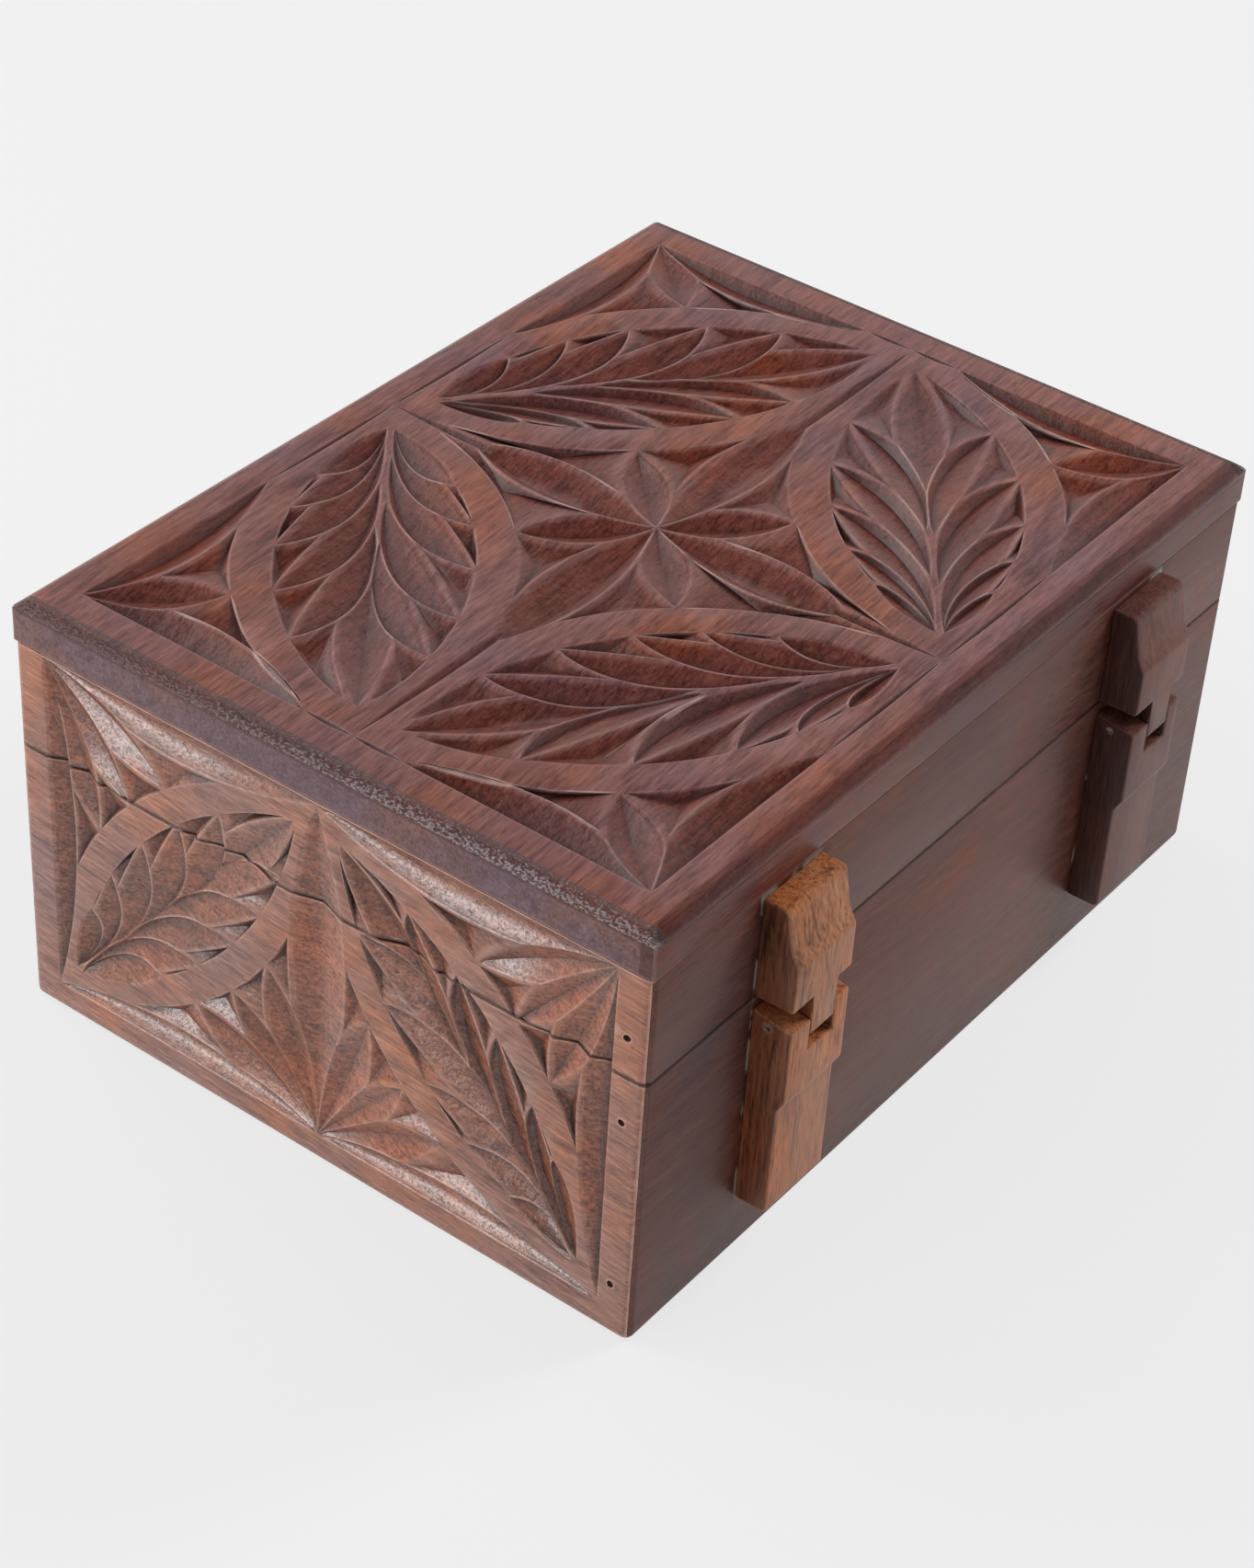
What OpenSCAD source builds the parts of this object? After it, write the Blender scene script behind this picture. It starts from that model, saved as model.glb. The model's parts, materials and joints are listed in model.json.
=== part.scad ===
// A carved wooden jewelry box with a lid on two wooden finger hinges.
// The origin is the middle of the flat underside. X runs along the hinged side,
// +Y points to the hinged back and Z points up. All sizes are in millimetres.

/* [Box] */
// Length of the box along its hinged side
box_length = 254; // [230:1:290]
// Depth of the box from front to back
box_depth = 192; // [180:1:212]
// Height of the box with its lid shut
box_height = 123; // [119:0.5:130]
// Height of the box's own walls, up to the seam
wall_top = 80.7; // [78:0.1:84]
// Gap between the box and its shut lid
seam_gap = 0.3; // [0.2:0.05:0.5]

/* [Boards] */
// Thickness of the boards round the sides
wall = 12; // [10:0.5:14]
// Thickness of the lid's top board
top_board = 12; // [9:0.5:14]
// Thickness of the bottom panel
bottom_board = 6; // [4:0.5:9]
// How far the bottom panel is let into the side boards
bottom_let_in = 6; // [3:0.5:8]
// Width of the chamfer round the top board
chamfer_width = 4; // [2:0.5:6]
// Drop of the chamfer round the top board
chamfer_drop = 2.2; // [1:0.1:4]
// Radius of the eased upright corners
corner_round = 2.5; // [1:0.5:4]
// Radius of the eased edges under the box
foot_round = 2; // [1:0.5:3]

/* [Carving] */
// Depth of the sunk ground beside the leaves
ground_depth = 3.1; // [1.8:0.1:3.8]
// Depth of the hollow in each leaflet
leaflet_depth = 2.6; // [1.4:0.1:3.2]
// Depth of the hollow in each petal of the flower and the fans
petal_depth = 2.8; // [1.4:0.1:3.4]
// Width of the flat band that frames each big leaf
band_width = 7.6; // [6:0.2:9]
// How far a band round a big leaf on the top bows out, as a share of its length
top_bow = 0.245; // [0.22:0.005:0.26]
// How far a band round a big leaf on an end bows out, as a share of its length
end_bow = 0.19; // [0.17:0.005:0.21]
// Plain margin at the left and right of the carving on the top
top_margin_side = 12.5; // [9:0.5:16]
// Plain margin at the front and back of the carving on the top
top_margin_long = 11; // [9:0.5:15]
// Plain margin at the front and back of the carving on an end
end_margin_side = 9.5; // [8:0.5:13]
// Plain margin under the carving on an end
end_margin_foot = 8.5; // [7:0.5:12]
// Plain margin between the carving on an end and the top board
end_margin_top = 0.5; // [0.3:0.1:2]
// Width of the line cut round the carving
line_width = 1.2; // [0.8:0.1:2]
// Depth of the line cut round the carving
line_depth = 0.8; // [0.4:0.1:1.4]
// Length of a leaflet, as a share of its leaf's length
leaflet_reach = 0.40; // [0.36:0.01:0.44]
// How far a leaflet bows out towards the tip of its leaf, as a share of its length
leaflet_bow = 0.18; // [0.15:0.01:0.2]
// How far the leaflet at the tip bows out on both sides, as a share of its length
tip_leaflet_bow = 0.11; // [0.09:0.01:0.13]
// Half the width of the ridges left between two hollows
ridge_half = 0.5; // [0.3:0.1:0.8]

/* [Petals] */
// Length of the flower's two petals along the box
flower_long = 66; // [60:1:70]
// Length of the flower's two petals across the box
flower_short = 58; // [52:1:62]
// How far the petals along the box bow out, as a share of their length
flower_long_bow = 0.118; // [0.1:0.002:0.13]
// How far the petals across the box bow out, as a share of their length
flower_short_bow = 0.135; // [0.12:0.005:0.145]
// How far the petals between those four bow out, as a share of their length
diagonal_bow = 0.18; // [0.15:0.01:0.19]
// How far the petals in the corners of the top bow out, as a share of their length
corner_bow = 0.19; // [0.16:0.01:0.2]
// How far the hollows beside the frame of the top reach in, as a share of their length
flank_bow = 0.146; // [0.13:0.002:0.15]
// How far the tall petal on an end bows out, as a share of its length
tall_bow = 0.085; // [0.07:0.005:0.095]
// How far the petals of the fan at the foot of an end bow out, as a share of their length
foot_fan_bow = 0.14; // [0.12:0.01:0.15]
// How far the petals of the fans in the upper corners bow out, as a share of their length
shoulder_fan_bow = 0.13; // [0.11:0.01:0.14]
// How far the hollow beside the lower line of an end reaches up, as a share of its length
foot_hollow_bow = 0.092; // [0.08:0.002:0.1]
// How far the hollow beside the upper line of an end reaches down, as a share of its length
top_hollow_bow = 0.112; // [0.1:0.002:0.12]
// How far the hollow beside the side line of an end reaches in, as a share of its length
side_hollow_bow = 0.082; // [0.07:0.002:0.09]

/* [Hinges] */
// Distance from the end of the box to the middle of a hinge
hinge_inset = 52; // [40:1:70]
// Width of a hinge
hinge_width = 23; // [20:0.5:27]
// Width of the finger in the middle of a hinge
finger_width = 9.4; // [8:0.2:11]
// How far the finger lies off the middle of its hinge
finger_offset = 1.1; // [0:0.1:2]
// Side clearance of the finger in its notch
finger_play = 0.25; // [0.15:0.05:0.4]
// Thickness of a hinge leaf where it is glued to the wood
leaf_thick = 9.1; // [8.5:0.1:10]
// Thickness of the hinge round its pin
knuckle_thick = 11.2; // [10.8:0.1:12]
// Thickness of the upper leaf at its top end
leaf_top_thick = 7.2; // [6:0.1:8]
// How far the upper leaf reaches above the seam
leaf_reach_up = 28.5; // [25:0.5:29.5]
// How far the lower leaf reaches below the seam
leaf_reach_down = 63; // [50:0.5:70]
// Height of the thick part above the seam
knuckle_up = 13.6; // [10:0.2:18]
// Depth of the thick part below the seam
knuckle_down = 26.7; // [20:0.5:34]
// Height of the sloped step between the thick part and a leaf
knuckle_slope = 4; // [2:0.5:6]
// Distance of the pin below the lid's lower edge
pin_drop = 7; // [6.8:0.1:7.6]
// Distance of the pin from the back of the box
pin_out = 4.4; // [4.2:0.1:4.8]
// Diameter of the hinge pin
pin_diameter = 2; // [1.4:0.1:2.4]
// Clearance between the pin and its bore, on the radius
pin_play = 0.05; // [0.03:0.01:0.1]
// Gap between a part of the hinge and what it swings past
swing_gap = 0.3; // [0.25:0.05:0.4]
// Height of the finger's underside below the pin
finger_drop = 3.5; // [3:0.1:4]
// Rounding under the front of the upper leaf
shoulder_round = 1.5; // [0.5:0.1:2]
// How far the upper leaf stays above the lid's lower edge
shoulder_play = 0.2; // [0.1:0.05:0.4]
// Height of the lower leaf above the pin, where it meets the wood
cheek_back = 3.3; // [2.8:0.1:3.6]
// Height of the lower leaf above the pin, at its outer side
cheek_front = 1.3; // [1:0.1:1.6]
// Easing of the free ends of the leaves
leaf_ease = 1; // [0.5:0.1:1.5]

/* [Nails] */
// Diameter of a nail
nail_diameter = 1.6; // [1.2:0.1:2]
// Length of a nail
nail_length = 26; // [20:1:32]
// How far a nail is sunk below the face of the end
nail_sunk = 0.6; // [0.2:0.1:1.2]
// Clearance between a nail and its hole, on the radius
nail_fit = 0.05; // [0.02:0.01:0.1]
// Height of the lower nails, as a share of the height of the box's walls
nail_low_share = 0.2; // [0.15:0.01:0.27]
// Height of the upper nails, as a share of the height of the box's walls
nail_high_share = 0.83; // [0.74:0.01:0.89]
// Height of the lid's nails, as a share of the height of the lid's walls
nail_lid_share = 0.37; // [0.25:0.01:0.6]

/* [Hidden] */
$fn = 48;
half_x = box_length / 2;
half_y = box_depth / 2;
lid_low = wall_top + seam_gap;
lid_high = box_height - top_board;
nail_low = wall_top * nail_low_share;
nail_high = wall_top * nail_high_share;
nail_lid = lid_low + (lid_high - lid_low) * nail_lid_share;
panel_x = half_x - wall + bottom_let_in;
panel_y = half_y - wall + bottom_let_in;
nail_sides = 24;
small = 0.01;
past = 1;
// Steps along a long cut, along a short one and the height of a cut's tool above the wood
long_steps = 6;
short_steps = 4;
lift = 0.6;
top_w = half_x - top_margin_side;
top_h = half_y - top_margin_long;
end_w = half_y - end_margin_side;
end_low = end_margin_foot;
end_high = lid_high - end_margin_top;
// How much further than a cut's own edge the ridge beside it reaches
ridge_spread = 1.13;

// Shares along a big leaf's length at which its leaflets meet the band.
// The first list is the side away from the middle of the panel.
leaf_nw = [[0.16, 0.276, 0.41, 0.58, 0.754], [0.17, 0.29, 0.445, 0.604, 0.77]];
leaf_ne = [[0.15, 0.27, 0.40, 0.60, 0.80], [0.21, 0.35, 0.485, 0.64, 0.80]];
leaf_sw = [[0.207, 0.35, 0.496, 0.666, 0.82], [0.17, 0.30, 0.445, 0.615, 0.756]];
leaf_se = [[0.206, 0.33, 0.47, 0.626, 0.78], [0.22, 0.366, 0.52, 0.69, 0.82]];
leaf_front = [[0.20, 0.337, 0.50, 0.65, 0.79], [0.27, 0.41, 0.56, 0.70, 0.84]];
leaf_back = [[0.24, 0.365, 0.524, 0.67, 0.82], [0.18, 0.315, 0.46, 0.65, 0.81]];

// Points and curves in the plane of a panel
function mix(a, b, t) = a * (1 - t) + b * t;
function aside(a, b) = [a.y - b.y, b.x - a.x];
function pull(a, b, lean, bow) = mix(a, b, lean) + aside(a, b) * 2 * bow;
function curve(a, c, b, t) = a * pow(1 - t, 2) + c * (2 * t * (1 - t)) + b * pow(t, 2);
function swell(t) = pow(sin(180 * t), 0.8);
function arc_rise(u, bow) =
    let (r = (0.5 * 0.5 + bow * bow) / (2 * bow))
    sqrt(r * r - (u - 0.5) * (u - 0.5)) - (r - bow);

function edge(a, b, lean, bow, t) = curve(a, pull(a, b, lean, bow), b, t);

// A point on the ridge beside a gouge cut
function ridge(a, b, lean, bow, t) = edge(a, b, lean, bow * ridge_spread, t);

// One cross section of a gouge cut: its two edges, their lifted twins and its valley
function gouge_section(a, cl, cr, b, valley, depth, t) =
    let (l = curve(a, cl, b, t), r = curve(a, cr, b, t), v = mix(l, r, valley))
    [[l.x, l.y, lift], [r.x, r.y, lift], [l.x, l.y, 0], [r.x, r.y, 0],
        [v.x, v.y, -depth * swell(t)]];

// Faces of a gouge cut with this many sections, on the points of its two ends and its sections
function gouge_faces(sections) =
    let (last = 5 * sections - 1)
    concat(
        // From the sharp end at a to the first section
        [[0, 4, 5], [4, 0, 1, 6], [0, 5, 7, 1], [6, 1, 8], [1, 7, 8]],
        [for (i = [4 : 5 : last - 5], j = i + 5)
            each [[i, j, j + 1, i + 1], [j, i, i + 2, j + 2], [i + 1, j + 1, j + 3, i + 3],
                [j + 2, i + 2, i + 4], [j + 2, i + 4, j + 4],
                [i + 3, j + 3, j + 4], [i + 3, j + 4, i + 4]]],
        // From the last section to the sharp end at b
        [[last, 2, last + 1], [2, last, last + 2, 3], [last + 1, 2, 3, last + 3],
            [3, last + 2, last + 4], [last + 3, 3, last + 4]]);

// A gouge cut from a to b. The bows say how far its two edges curve to the left, and valley
// says where its deepest line runs, as a share of the way from the first edge to the second.
module gouge(a, b, first, second, depth, valley = 0.5, lean = 0.5, steps = short_steps) {
    cl = pull(a, b, lean, max(first, second));
    cr = pull(a, b, lean, min(first, second));
    from_left = first > second ? valley : 1 - valley;
    polyhedron(
        points = concat(
            [[a.x, a.y, lift], [a.x, a.y, 0], [b.x, b.y, lift], [b.x, b.y, 0]],
            [for (i = [1 : steps - 1])
                each gouge_section(a, cl, cr, b, from_left, depth, i / steps)]),
        faces = gouge_faces(steps - 1));
}

// A sunk pocket with a ridge left round it: its outline slopes down to one deep point
module pocket(outline, deep, depth) {
    n = len(outline);
    for (i = [0 : n - 1])
        hull() {
            p = outline[i];
            q = outline[(i + 1) % n];
            polyhedron(
                points = [[p.x, p.y, lift], [q.x, q.y, lift], [deep.x, deep.y, lift],
                    [p.x, p.y, 0], [q.x, q.y, 0], [deep.x, deep.y, -depth]],
                faces = [[0, 1, 2], [3, 4, 5]]);
        }
}

// A straight line cut between two points
module line_cut(a, b, width = line_width, depth = line_depth) {
    gouge(a, b, 0.5 * width / norm(b - a), -0.5 * width / norm(b - a), depth, steps = 2);
}

// A point moved towards another, to leave half of a ridge standing beside it
function beside(p, deep) = p + (deep - p) * ridge_half / norm(deep - p);

// A band is [stem, tip, bow, way]. Its way is 1 where its outer side is on the left.
// A point on the rim of a band, at a share of its length, on its left (1) or right (-1)
function rim(band, u, side) =
    mix(band[0], band[1], u) + aside(band[0], band[1]) * side * arc_rise(u, band[2]);

// Petals from one root to a band's rim, with a pocket between each pair of neighbours
module fan(root, band, side, shares, fullness, joint = 0.72) {
    ends = [for (u = shares) rim(band, u, side)];
    for (tip = ends)
        gouge(root, mix(root, tip, 0.99), fullness, -fullness, petal_depth);
    for (i = [1 : 1 : len(shares) - 1]) {
        between = rim(band, (shares[i - 1] + shares[i]) / 2, side);
        deep = mix(root, between, 0.93);
        turn = sign(cross(ends[i - 1] - root, ends[i] - root));
        corner = mix(root, (ends[i - 1] + ends[i]) / 2, joint);
        pocket([ends[i - 1], between, ends[i],
            beside(edge(root, ends[i], 0.5, -turn * fullness, 0.85), deep), beside(corner, deep),
            beside(edge(root, ends[i - 1], 0.5, turn * fullness, 0.85), deep)],
            deep, ground_depth);
    }
}

// A pocket between a band's rim and two ridges that meet at a corner away from the band.
// Each ridge is given by one point on it, between the corner and the rim.
module rim_pocket(band, side, from, to, ridge_from, corner, ridge_to) {
    a = rim(band, from, side);
    b = rim(band, to, side);
    middle = rim(band, (from + to) / 2, side);
    deep = mix(middle, corner, 0.22);
    pocket([a, rim(band, mix(from, to, 0.25), side), middle, rim(band, mix(from, to, 0.75), side),
        b, beside(ridge_to, deep), beside(corner, deep), beside(ridge_from, deep)],
        deep, ground_depth);
}

// The sunk leaf inside a band: leaflets on both sides, pockets between them and the band,
// and a leaflet at the tip. The shares are for the left side and then for the right side.
module big_leaf(band, shares) {
    stem = band[0];
    tip = band[1];
    function on_leaf(u, v) = mix(stem, tip, u) + aside(stem, tip) * v;
    for (side = [1, -1]) {
        meets = shares[side > 0 ? 0 : 1];
        last = len(meets) - 1;
        ends = [for (u = meets) on_leaf(u, side * arc_rise(u, band[2]))];
        roots = [for (k = [0 : last]) on_leaf(max(0.015, meets[k] - leaflet_reach), side * 0.008)];
        outer = [for (k = [0 : last]) side * (k == 0 ? 0.10 : 0.02)];
        for (k = [0 : last]) {
            gouge(roots[k], mix(roots[k], ends[k], 0.99), outer[k], -side * leaflet_bow,
                leaflet_depth, valley = 0.68, lean = 0.62,
                steps = k < 2 ? short_steps : long_steps - 1);
            next_end = k < last ? ends[k + 1] : on_leaf(0.95, side * arc_rise(0.95, band[2]));
            next_u = k < last ? meets[k + 1] : 0.95;
            rim_middle = rim(band, (meets[k] + next_u) / 2, side);
            next_low = k < last ? edge(roots[k + 1], ends[k + 1], 0.62, outer[k + 1], 0.66)
                : edge(on_leaf(0.52, 0), tip, 0.5, side * tip_leaflet_bow, 0.38);
            next_high = k < last ? edge(roots[k + 1], ends[k + 1], 0.62, outer[k + 1], 0.86)
                : edge(on_leaf(0.52, 0), tip, 0.5, side * tip_leaflet_bow, 0.72);
            deep = mix(rim_middle, next_low, 0.25);
            pocket([ends[k], rim_middle, next_end, beside(next_high, deep),
                beside(next_low, deep),
                beside(edge(roots[k], ends[k], 0.62, -side * leaflet_bow, 0.84), deep)],
                deep, ground_depth);
        }
    }
    gouge(on_leaf(0.50, 0), mix(stem, tip, 0.99), tip_leaflet_bow, -tip_leaflet_bow, leaflet_depth);
}

// The leaf inside a band, drawn in from the band's rim by the band's width
function inside(band) =
    let (share = band_width / norm(band[1] - band[0]))
    [mix(band[0], band[1], share * 1.25), mix(band[0], band[1], 1 - share * 1.25),
        band[2] - share * 0.85];

// Carving of one quarter of the top. The signs say which quarter.
module top_quarter(sx, sy, shares) {
    function at(x, y) = [sx * x, sy * y];
    out = sx * sy;
    band = [at(0, top_h), at(top_w, 0), top_bow];
    big_leaf(inside(band), out > 0 ? shares : [shares[1], shares[0]]);
    // Corner of the frame: a petal between two long hollows beside the frame
    corner = at(top_w, top_h);
    petal_tip = rim(band, 0.624, out);
    flank_long = at(top_w * 0.42, top_h);
    flank_side = at(top_w, top_h * 0.17);
    gouge(corner, mix(corner, petal_tip, 0.99), corner_bow, -corner_bow, petal_depth);
    gouge(corner, flank_long, out * flank_bow, 0, ground_depth, valley = 0.75, lean = 0.42,
        steps = long_steps);
    gouge(corner, flank_side, 0, -out * flank_bow, ground_depth, valley = 0.25, lean = 0.46,
        steps = long_steps);
    rim_pocket(band, out, 0.43, 0.61, edge(corner, flank_long, 0.42, out * flank_bow, 0.55),
        mix(corner, edge(corner, flank_long, 0.42, out * flank_bow, 0.40), 0.92),
        edge(corner, petal_tip, 0.5, -out * corner_bow, 0.72));
    rim_pocket(band, out, 0.64, 0.82, edge(corner, petal_tip, 0.5, out * corner_bow, 0.72),
        mix(corner, edge(corner, flank_side, 0.46, -out * flank_bow, 0.40), 0.92),
        edge(corner, flank_side, 0.46, -out * flank_bow, 0.60));
    line_cut(at(0, top_h), flank_long);
    line_cut(at(top_w, 0), flank_side);
    // Flower in the middle: a diagonal petal and the grounds on both sides of it
    centre = [0, 0];
    flower_tip = rim(band, 0.392, -out);
    gouge(centre, mix(centre, flower_tip, 0.99), diagonal_bow, -diagonal_bow, petal_depth);
    rim_pocket(band, -out, 0.20, 0.375,
        ridge(centre, at(0, flower_short), 0.60, -out * flower_short_bow, 0.53),
        ridge(centre, at(0, flower_short), 0.60, -out * flower_short_bow, 0.25),
        ridge(centre, flower_tip, 0.5, out * diagonal_bow, 0.72));
    rim_pocket(band, -out, 0.41, 0.67, ridge(centre, flower_tip, 0.5, -out * diagonal_bow, 0.72),
        ridge(centre, at(flower_long, 0), 0.55, out * flower_long_bow, 0.24),
        ridge(centre, at(flower_long, 0), 0.55, out * flower_long_bow, 0.52));
}

// Carving of the whole top, about its middle
module top_carving() {
    top_quarter(-1, 1, leaf_nw);
    top_quarter(1, 1, leaf_ne);
    top_quarter(-1, -1, leaf_sw);
    top_quarter(1, -1, leaf_se);
    groove = line_depth * 1.4;
    for (s = [-1, 1]) {
        gouge([0, 0], [s * flower_long, 0], flower_long_bow, -flower_long_bow, petal_depth,
            lean = 0.55, steps = long_steps);
        gouge([0, 0], [0, s * flower_short], flower_short_bow, -flower_short_bow, petal_depth,
            lean = 0.60, steps = long_steps);
        gouge([s * flower_long * 0.6, 0], [s * top_w, 0], 0.022, -0.022, groove, lean = 0.4);
        gouge([0, s * flower_short * 0.65], [0, s * top_h], 0.034, -0.034, groove, lean = 0.4);
    }
}

// Carving of one half of an end, on the side that s gives
module end_half(s, shares) {
    function at(y, z) = [s * y, z];
    band = [at(end_w, end_low), at(0, end_high), end_bow];
    big_leaf(inside(band), s > 0 ? [shares[1], shares[0]] : shares);
    foot = at(0, end_low);
    shoulder = at(end_w, end_high);
    out = -s;
    // Fan from the middle of the foot, and the long hollow beside the lower line
    crown = at(0, end_high);
    toe = at(end_w, end_low);
    fan(foot, band, -out, [0.345, 0.465, 0.60], foot_fan_bow);
    gouge(foot, toe, s * foot_hollow_bow, 0, ground_depth, valley = 0.3, steps = long_steps);
    rim_pocket(band, -out, 0.62, 0.72,
        edge(foot, rim(band, 0.60, -out), 0.5, -s * foot_fan_bow, 0.86),
        edge(foot, crown, 0.56, -s * tall_bow, 0.33), edge(foot, crown, 0.56, -s * tall_bow, 0.5));
    rim_pocket(band, -out, 0.16, 0.33, ridge(foot, toe, 0.5, s * foot_hollow_bow, 0.58),
        ridge(foot, toe, 0.5, s * foot_hollow_bow, 0.40),
        edge(foot, rim(band, 0.345, -out), 0.5, s * foot_fan_bow, 0.86));
    // Fan from the upper corner, and the long hollows beside the upper and the side line
    fan(shoulder, band, out, [0.413, 0.536, 0.655], shoulder_fan_bow);
    gouge(shoulder, crown, s * top_hollow_bow, 0, ground_depth, valley = 0.7,
        steps = long_steps);
    gouge(shoulder, toe, 0, -s * side_hollow_bow, ground_depth, valley = 0.5 - 0.2 * s,
        lean = 0.45, steps = long_steps);
    rim_pocket(band, out, 0.67, 0.80,
        edge(shoulder, rim(band, 0.655, out), 0.5, s * shoulder_fan_bow, 0.80),
        ridge(shoulder, crown, 0.5, s * top_hollow_bow, 0.36),
        ridge(shoulder, crown, 0.5, s * top_hollow_bow, 0.47));
    rim_pocket(band, out, 0.28, 0.40, ridge(shoulder, toe, 0.45, -s * side_hollow_bow, 0.52),
        ridge(shoulder, toe, 0.45, -s * side_hollow_bow, 0.40),
        edge(shoulder, rim(band, 0.413, out), 0.5, -s * shoulder_fan_bow, 0.84));
}

// Carving of a whole end, with the tall petal up its middle
module end_carving() {
    end_half(-1, leaf_front);
    end_half(1, leaf_back);
    gouge([0, end_low], [0, end_high], tall_bow, -tall_bow, petal_depth, lean = 0.56,
        steps = long_steps);
}

// A carving drawn in a flat plane, laid on the right hand end
module on_end() {
    translate([half_x, 0, 0])
        rotate([90, 0, 90])
            children();
}

// Cross section of a wall board, with its outer face on the right, at 0. A board that stands on
// the ground has its outer lower edge rounded and a rebate for the bottom panel.
module board_section(low, high, on_ground) {
    ease = on_ground ? foot_round : 0;
    difference() {
        union() {
            translate([-wall, low + ease])
                square([wall, high - low - ease]);
            translate([-wall, low])
                square([wall - ease, high - low]);
            if (on_ground)
                translate([-ease, low + ease])
                    circle(r = ease);
        }
        if (on_ground)
            translate([-wall - past, low - past])
                square([bottom_let_in + past, bottom_board + past]);
    }
}

// A wall board along X with mitred ends, its outer face at +Y. Each of its two upright corners
// is half of a round corner, and the mitre cuts it off on the diagonal.
module mitred_board(out, half_length, low, high, on_ground) {
    intersection() {
        translate([-half_length, 0, 0])
            rotate([90, 0, 90])
                linear_extrude(height = 2 * half_length)
                    translate([out, 0])
                        board_section(low, high, on_ground);
        linear_extrude(height = high)
            polygon([[wall - half_length, out - wall], [half_length - wall, out - wall],
                for (a = [45 : 15 : 90]) [half_length - corner_round, out - corner_round]
                    + corner_round * [cos(a), sin(a)],
                for (a = [90 : 15 : 135]) [corner_round - half_length, out - corner_round]
                    + corner_round * [cos(a), sin(a)]]);
    }
}

module long_board(low, high, on_ground) {
    mitred_board(half_y, half_x, low, high, on_ground);
}

// One end board on the right hand side, uncarved
module end_board(low, high, on_ground) {
    rotate([0, 0, -90])
        mitred_board(half_x, half_y, low, high, on_ground);
}

// Bores for the nails, along X through both ends at one height
module nail_bores(z) {
    for (sx = [-1, 1], sy = [-1, 1])
        translate([sx * (half_x - nail_sunk - nail_length - nail_fit), sy * (half_y - wall / 2), z])
            rotate([0, sx * 90, 0])
                cylinder(r = nail_diameter / 2 + nail_fit, h = nail_length + nail_sunk + past,
                    $fn = nail_sides);
}

// The nails themselves
module nails(heights) {
    for (sx = [-1, 1], sy = [-1, 1], z = heights)
        translate([sx * (half_x - nail_sunk - nail_length), sy * (half_y - wall / 2), z])
            rotate([0, sx * 90, 0])
                cylinder(d = nail_diameter, h = nail_length, $fn = nail_sides);
}

module body_end() {
    difference() {
        end_board(0, wall_top, true);
        on_end()
            end_carving();
        nail_bores(nail_low);
        nail_bores(nail_high);
    }
}

module lid_end() {
    difference() {
        end_board(lid_low, lid_high, false);
        on_end()
            end_carving();
        nail_bores(nail_lid);
    }
}

module body_end_right() {
    color("#8a5a45")
        body_end();
}

module body_end_left() {
    color("#8a5a45")
        mirror([1, 0, 0])
            body_end();
}

module lid_end_right() {
    color("#8a5a45")
        lid_end();
}

module lid_end_left() {
    color("#8a5a45")
        mirror([1, 0, 0])
            lid_end();
}

module body_back() {
    color("#5a3a34")
        difference() {
            long_board(0, wall_top, true);
            nail_bores(nail_low);
            nail_bores(nail_high);
        }
}

module body_front() {
    color("#5a3a34")
        difference() {
            mirror([0, 1, 0])
                long_board(0, wall_top, true);
            nail_bores(nail_low);
            nail_bores(nail_high);
        }
}

module lid_back() {
    color("#5a3a34")
        difference() {
            long_board(lid_low, lid_high, false);
            nail_bores(nail_lid);
        }
}

module lid_front() {
    color("#5a3a34")
        difference() {
            mirror([0, 1, 0])
                long_board(lid_low, lid_high, false);
            nail_bores(nail_lid);
        }
}

module bottom_panel() {
    color("#6b4636")
        translate([-panel_x, -panel_y, 0])
            cube([2 * panel_x, 2 * panel_y, bottom_board]);
}

module lid_top() {
    color("#7a4638")
        difference() {
            hull() {
                translate([-half_x, -half_y, lid_high])
                    cube([box_length, box_depth, top_board - chamfer_drop]);
                translate([chamfer_width - half_x, chamfer_width - half_y, lid_high])
                    cube([box_length - 2 * chamfer_width, box_depth - 2 * chamfer_width, top_board]);
            }
            translate([0, 0, box_height])
                top_carving();
        }
}

module body_nails() {
    color("#3a3230")
        nails([nail_low, nail_high]);
}

module lid_nails() {
    color("#3a3230")
        nails([nail_lid]);
}

// Hinge heights measured from the pin, and the side profiles drawn as (out from the wall, up)
shoulder_up = pin_drop + shoulder_play;
upper_end = pin_drop + leaf_reach_up;
lower_end = pin_drop - leaf_reach_down;
finger_back = swing_gap;
notch_floor = -(norm([knuckle_thick - pin_out, finger_drop]) + swing_gap);

module upper_profile() {
    knuckle_end = pin_drop + knuckle_up;
    polygon([[0, shoulder_up], [knuckle_thick - shoulder_round, shoulder_up],
        for (a = [-75 : 15 : -15]) [knuckle_thick - shoulder_round, shoulder_up + shoulder_round]
            + shoulder_round * [cos(a), sin(a)],
        [knuckle_thick, shoulder_up + shoulder_round], [knuckle_thick, knuckle_end],
        [leaf_thick, knuckle_end + knuckle_slope], [leaf_top_thick, upper_end - leaf_ease],
        [leaf_top_thick - leaf_ease, upper_end], [0, upper_end]]);
}

module finger_profile() {
    curl = pin_out - finger_back;
    intersection() {
        translate([finger_back, -finger_drop])
            square([knuckle_thick - finger_back, finger_drop + shoulder_up + shoulder_round]);
        union() {
            translate([pin_out, 0])
                circle(r = curl);
            translate([pin_out, -finger_drop])
                square([knuckle_thick - pin_out, 2 * finger_drop]);
            translate([finger_back, 0])
                square([knuckle_thick - finger_back, shoulder_up + shoulder_round]);
        }
    }
}

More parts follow.
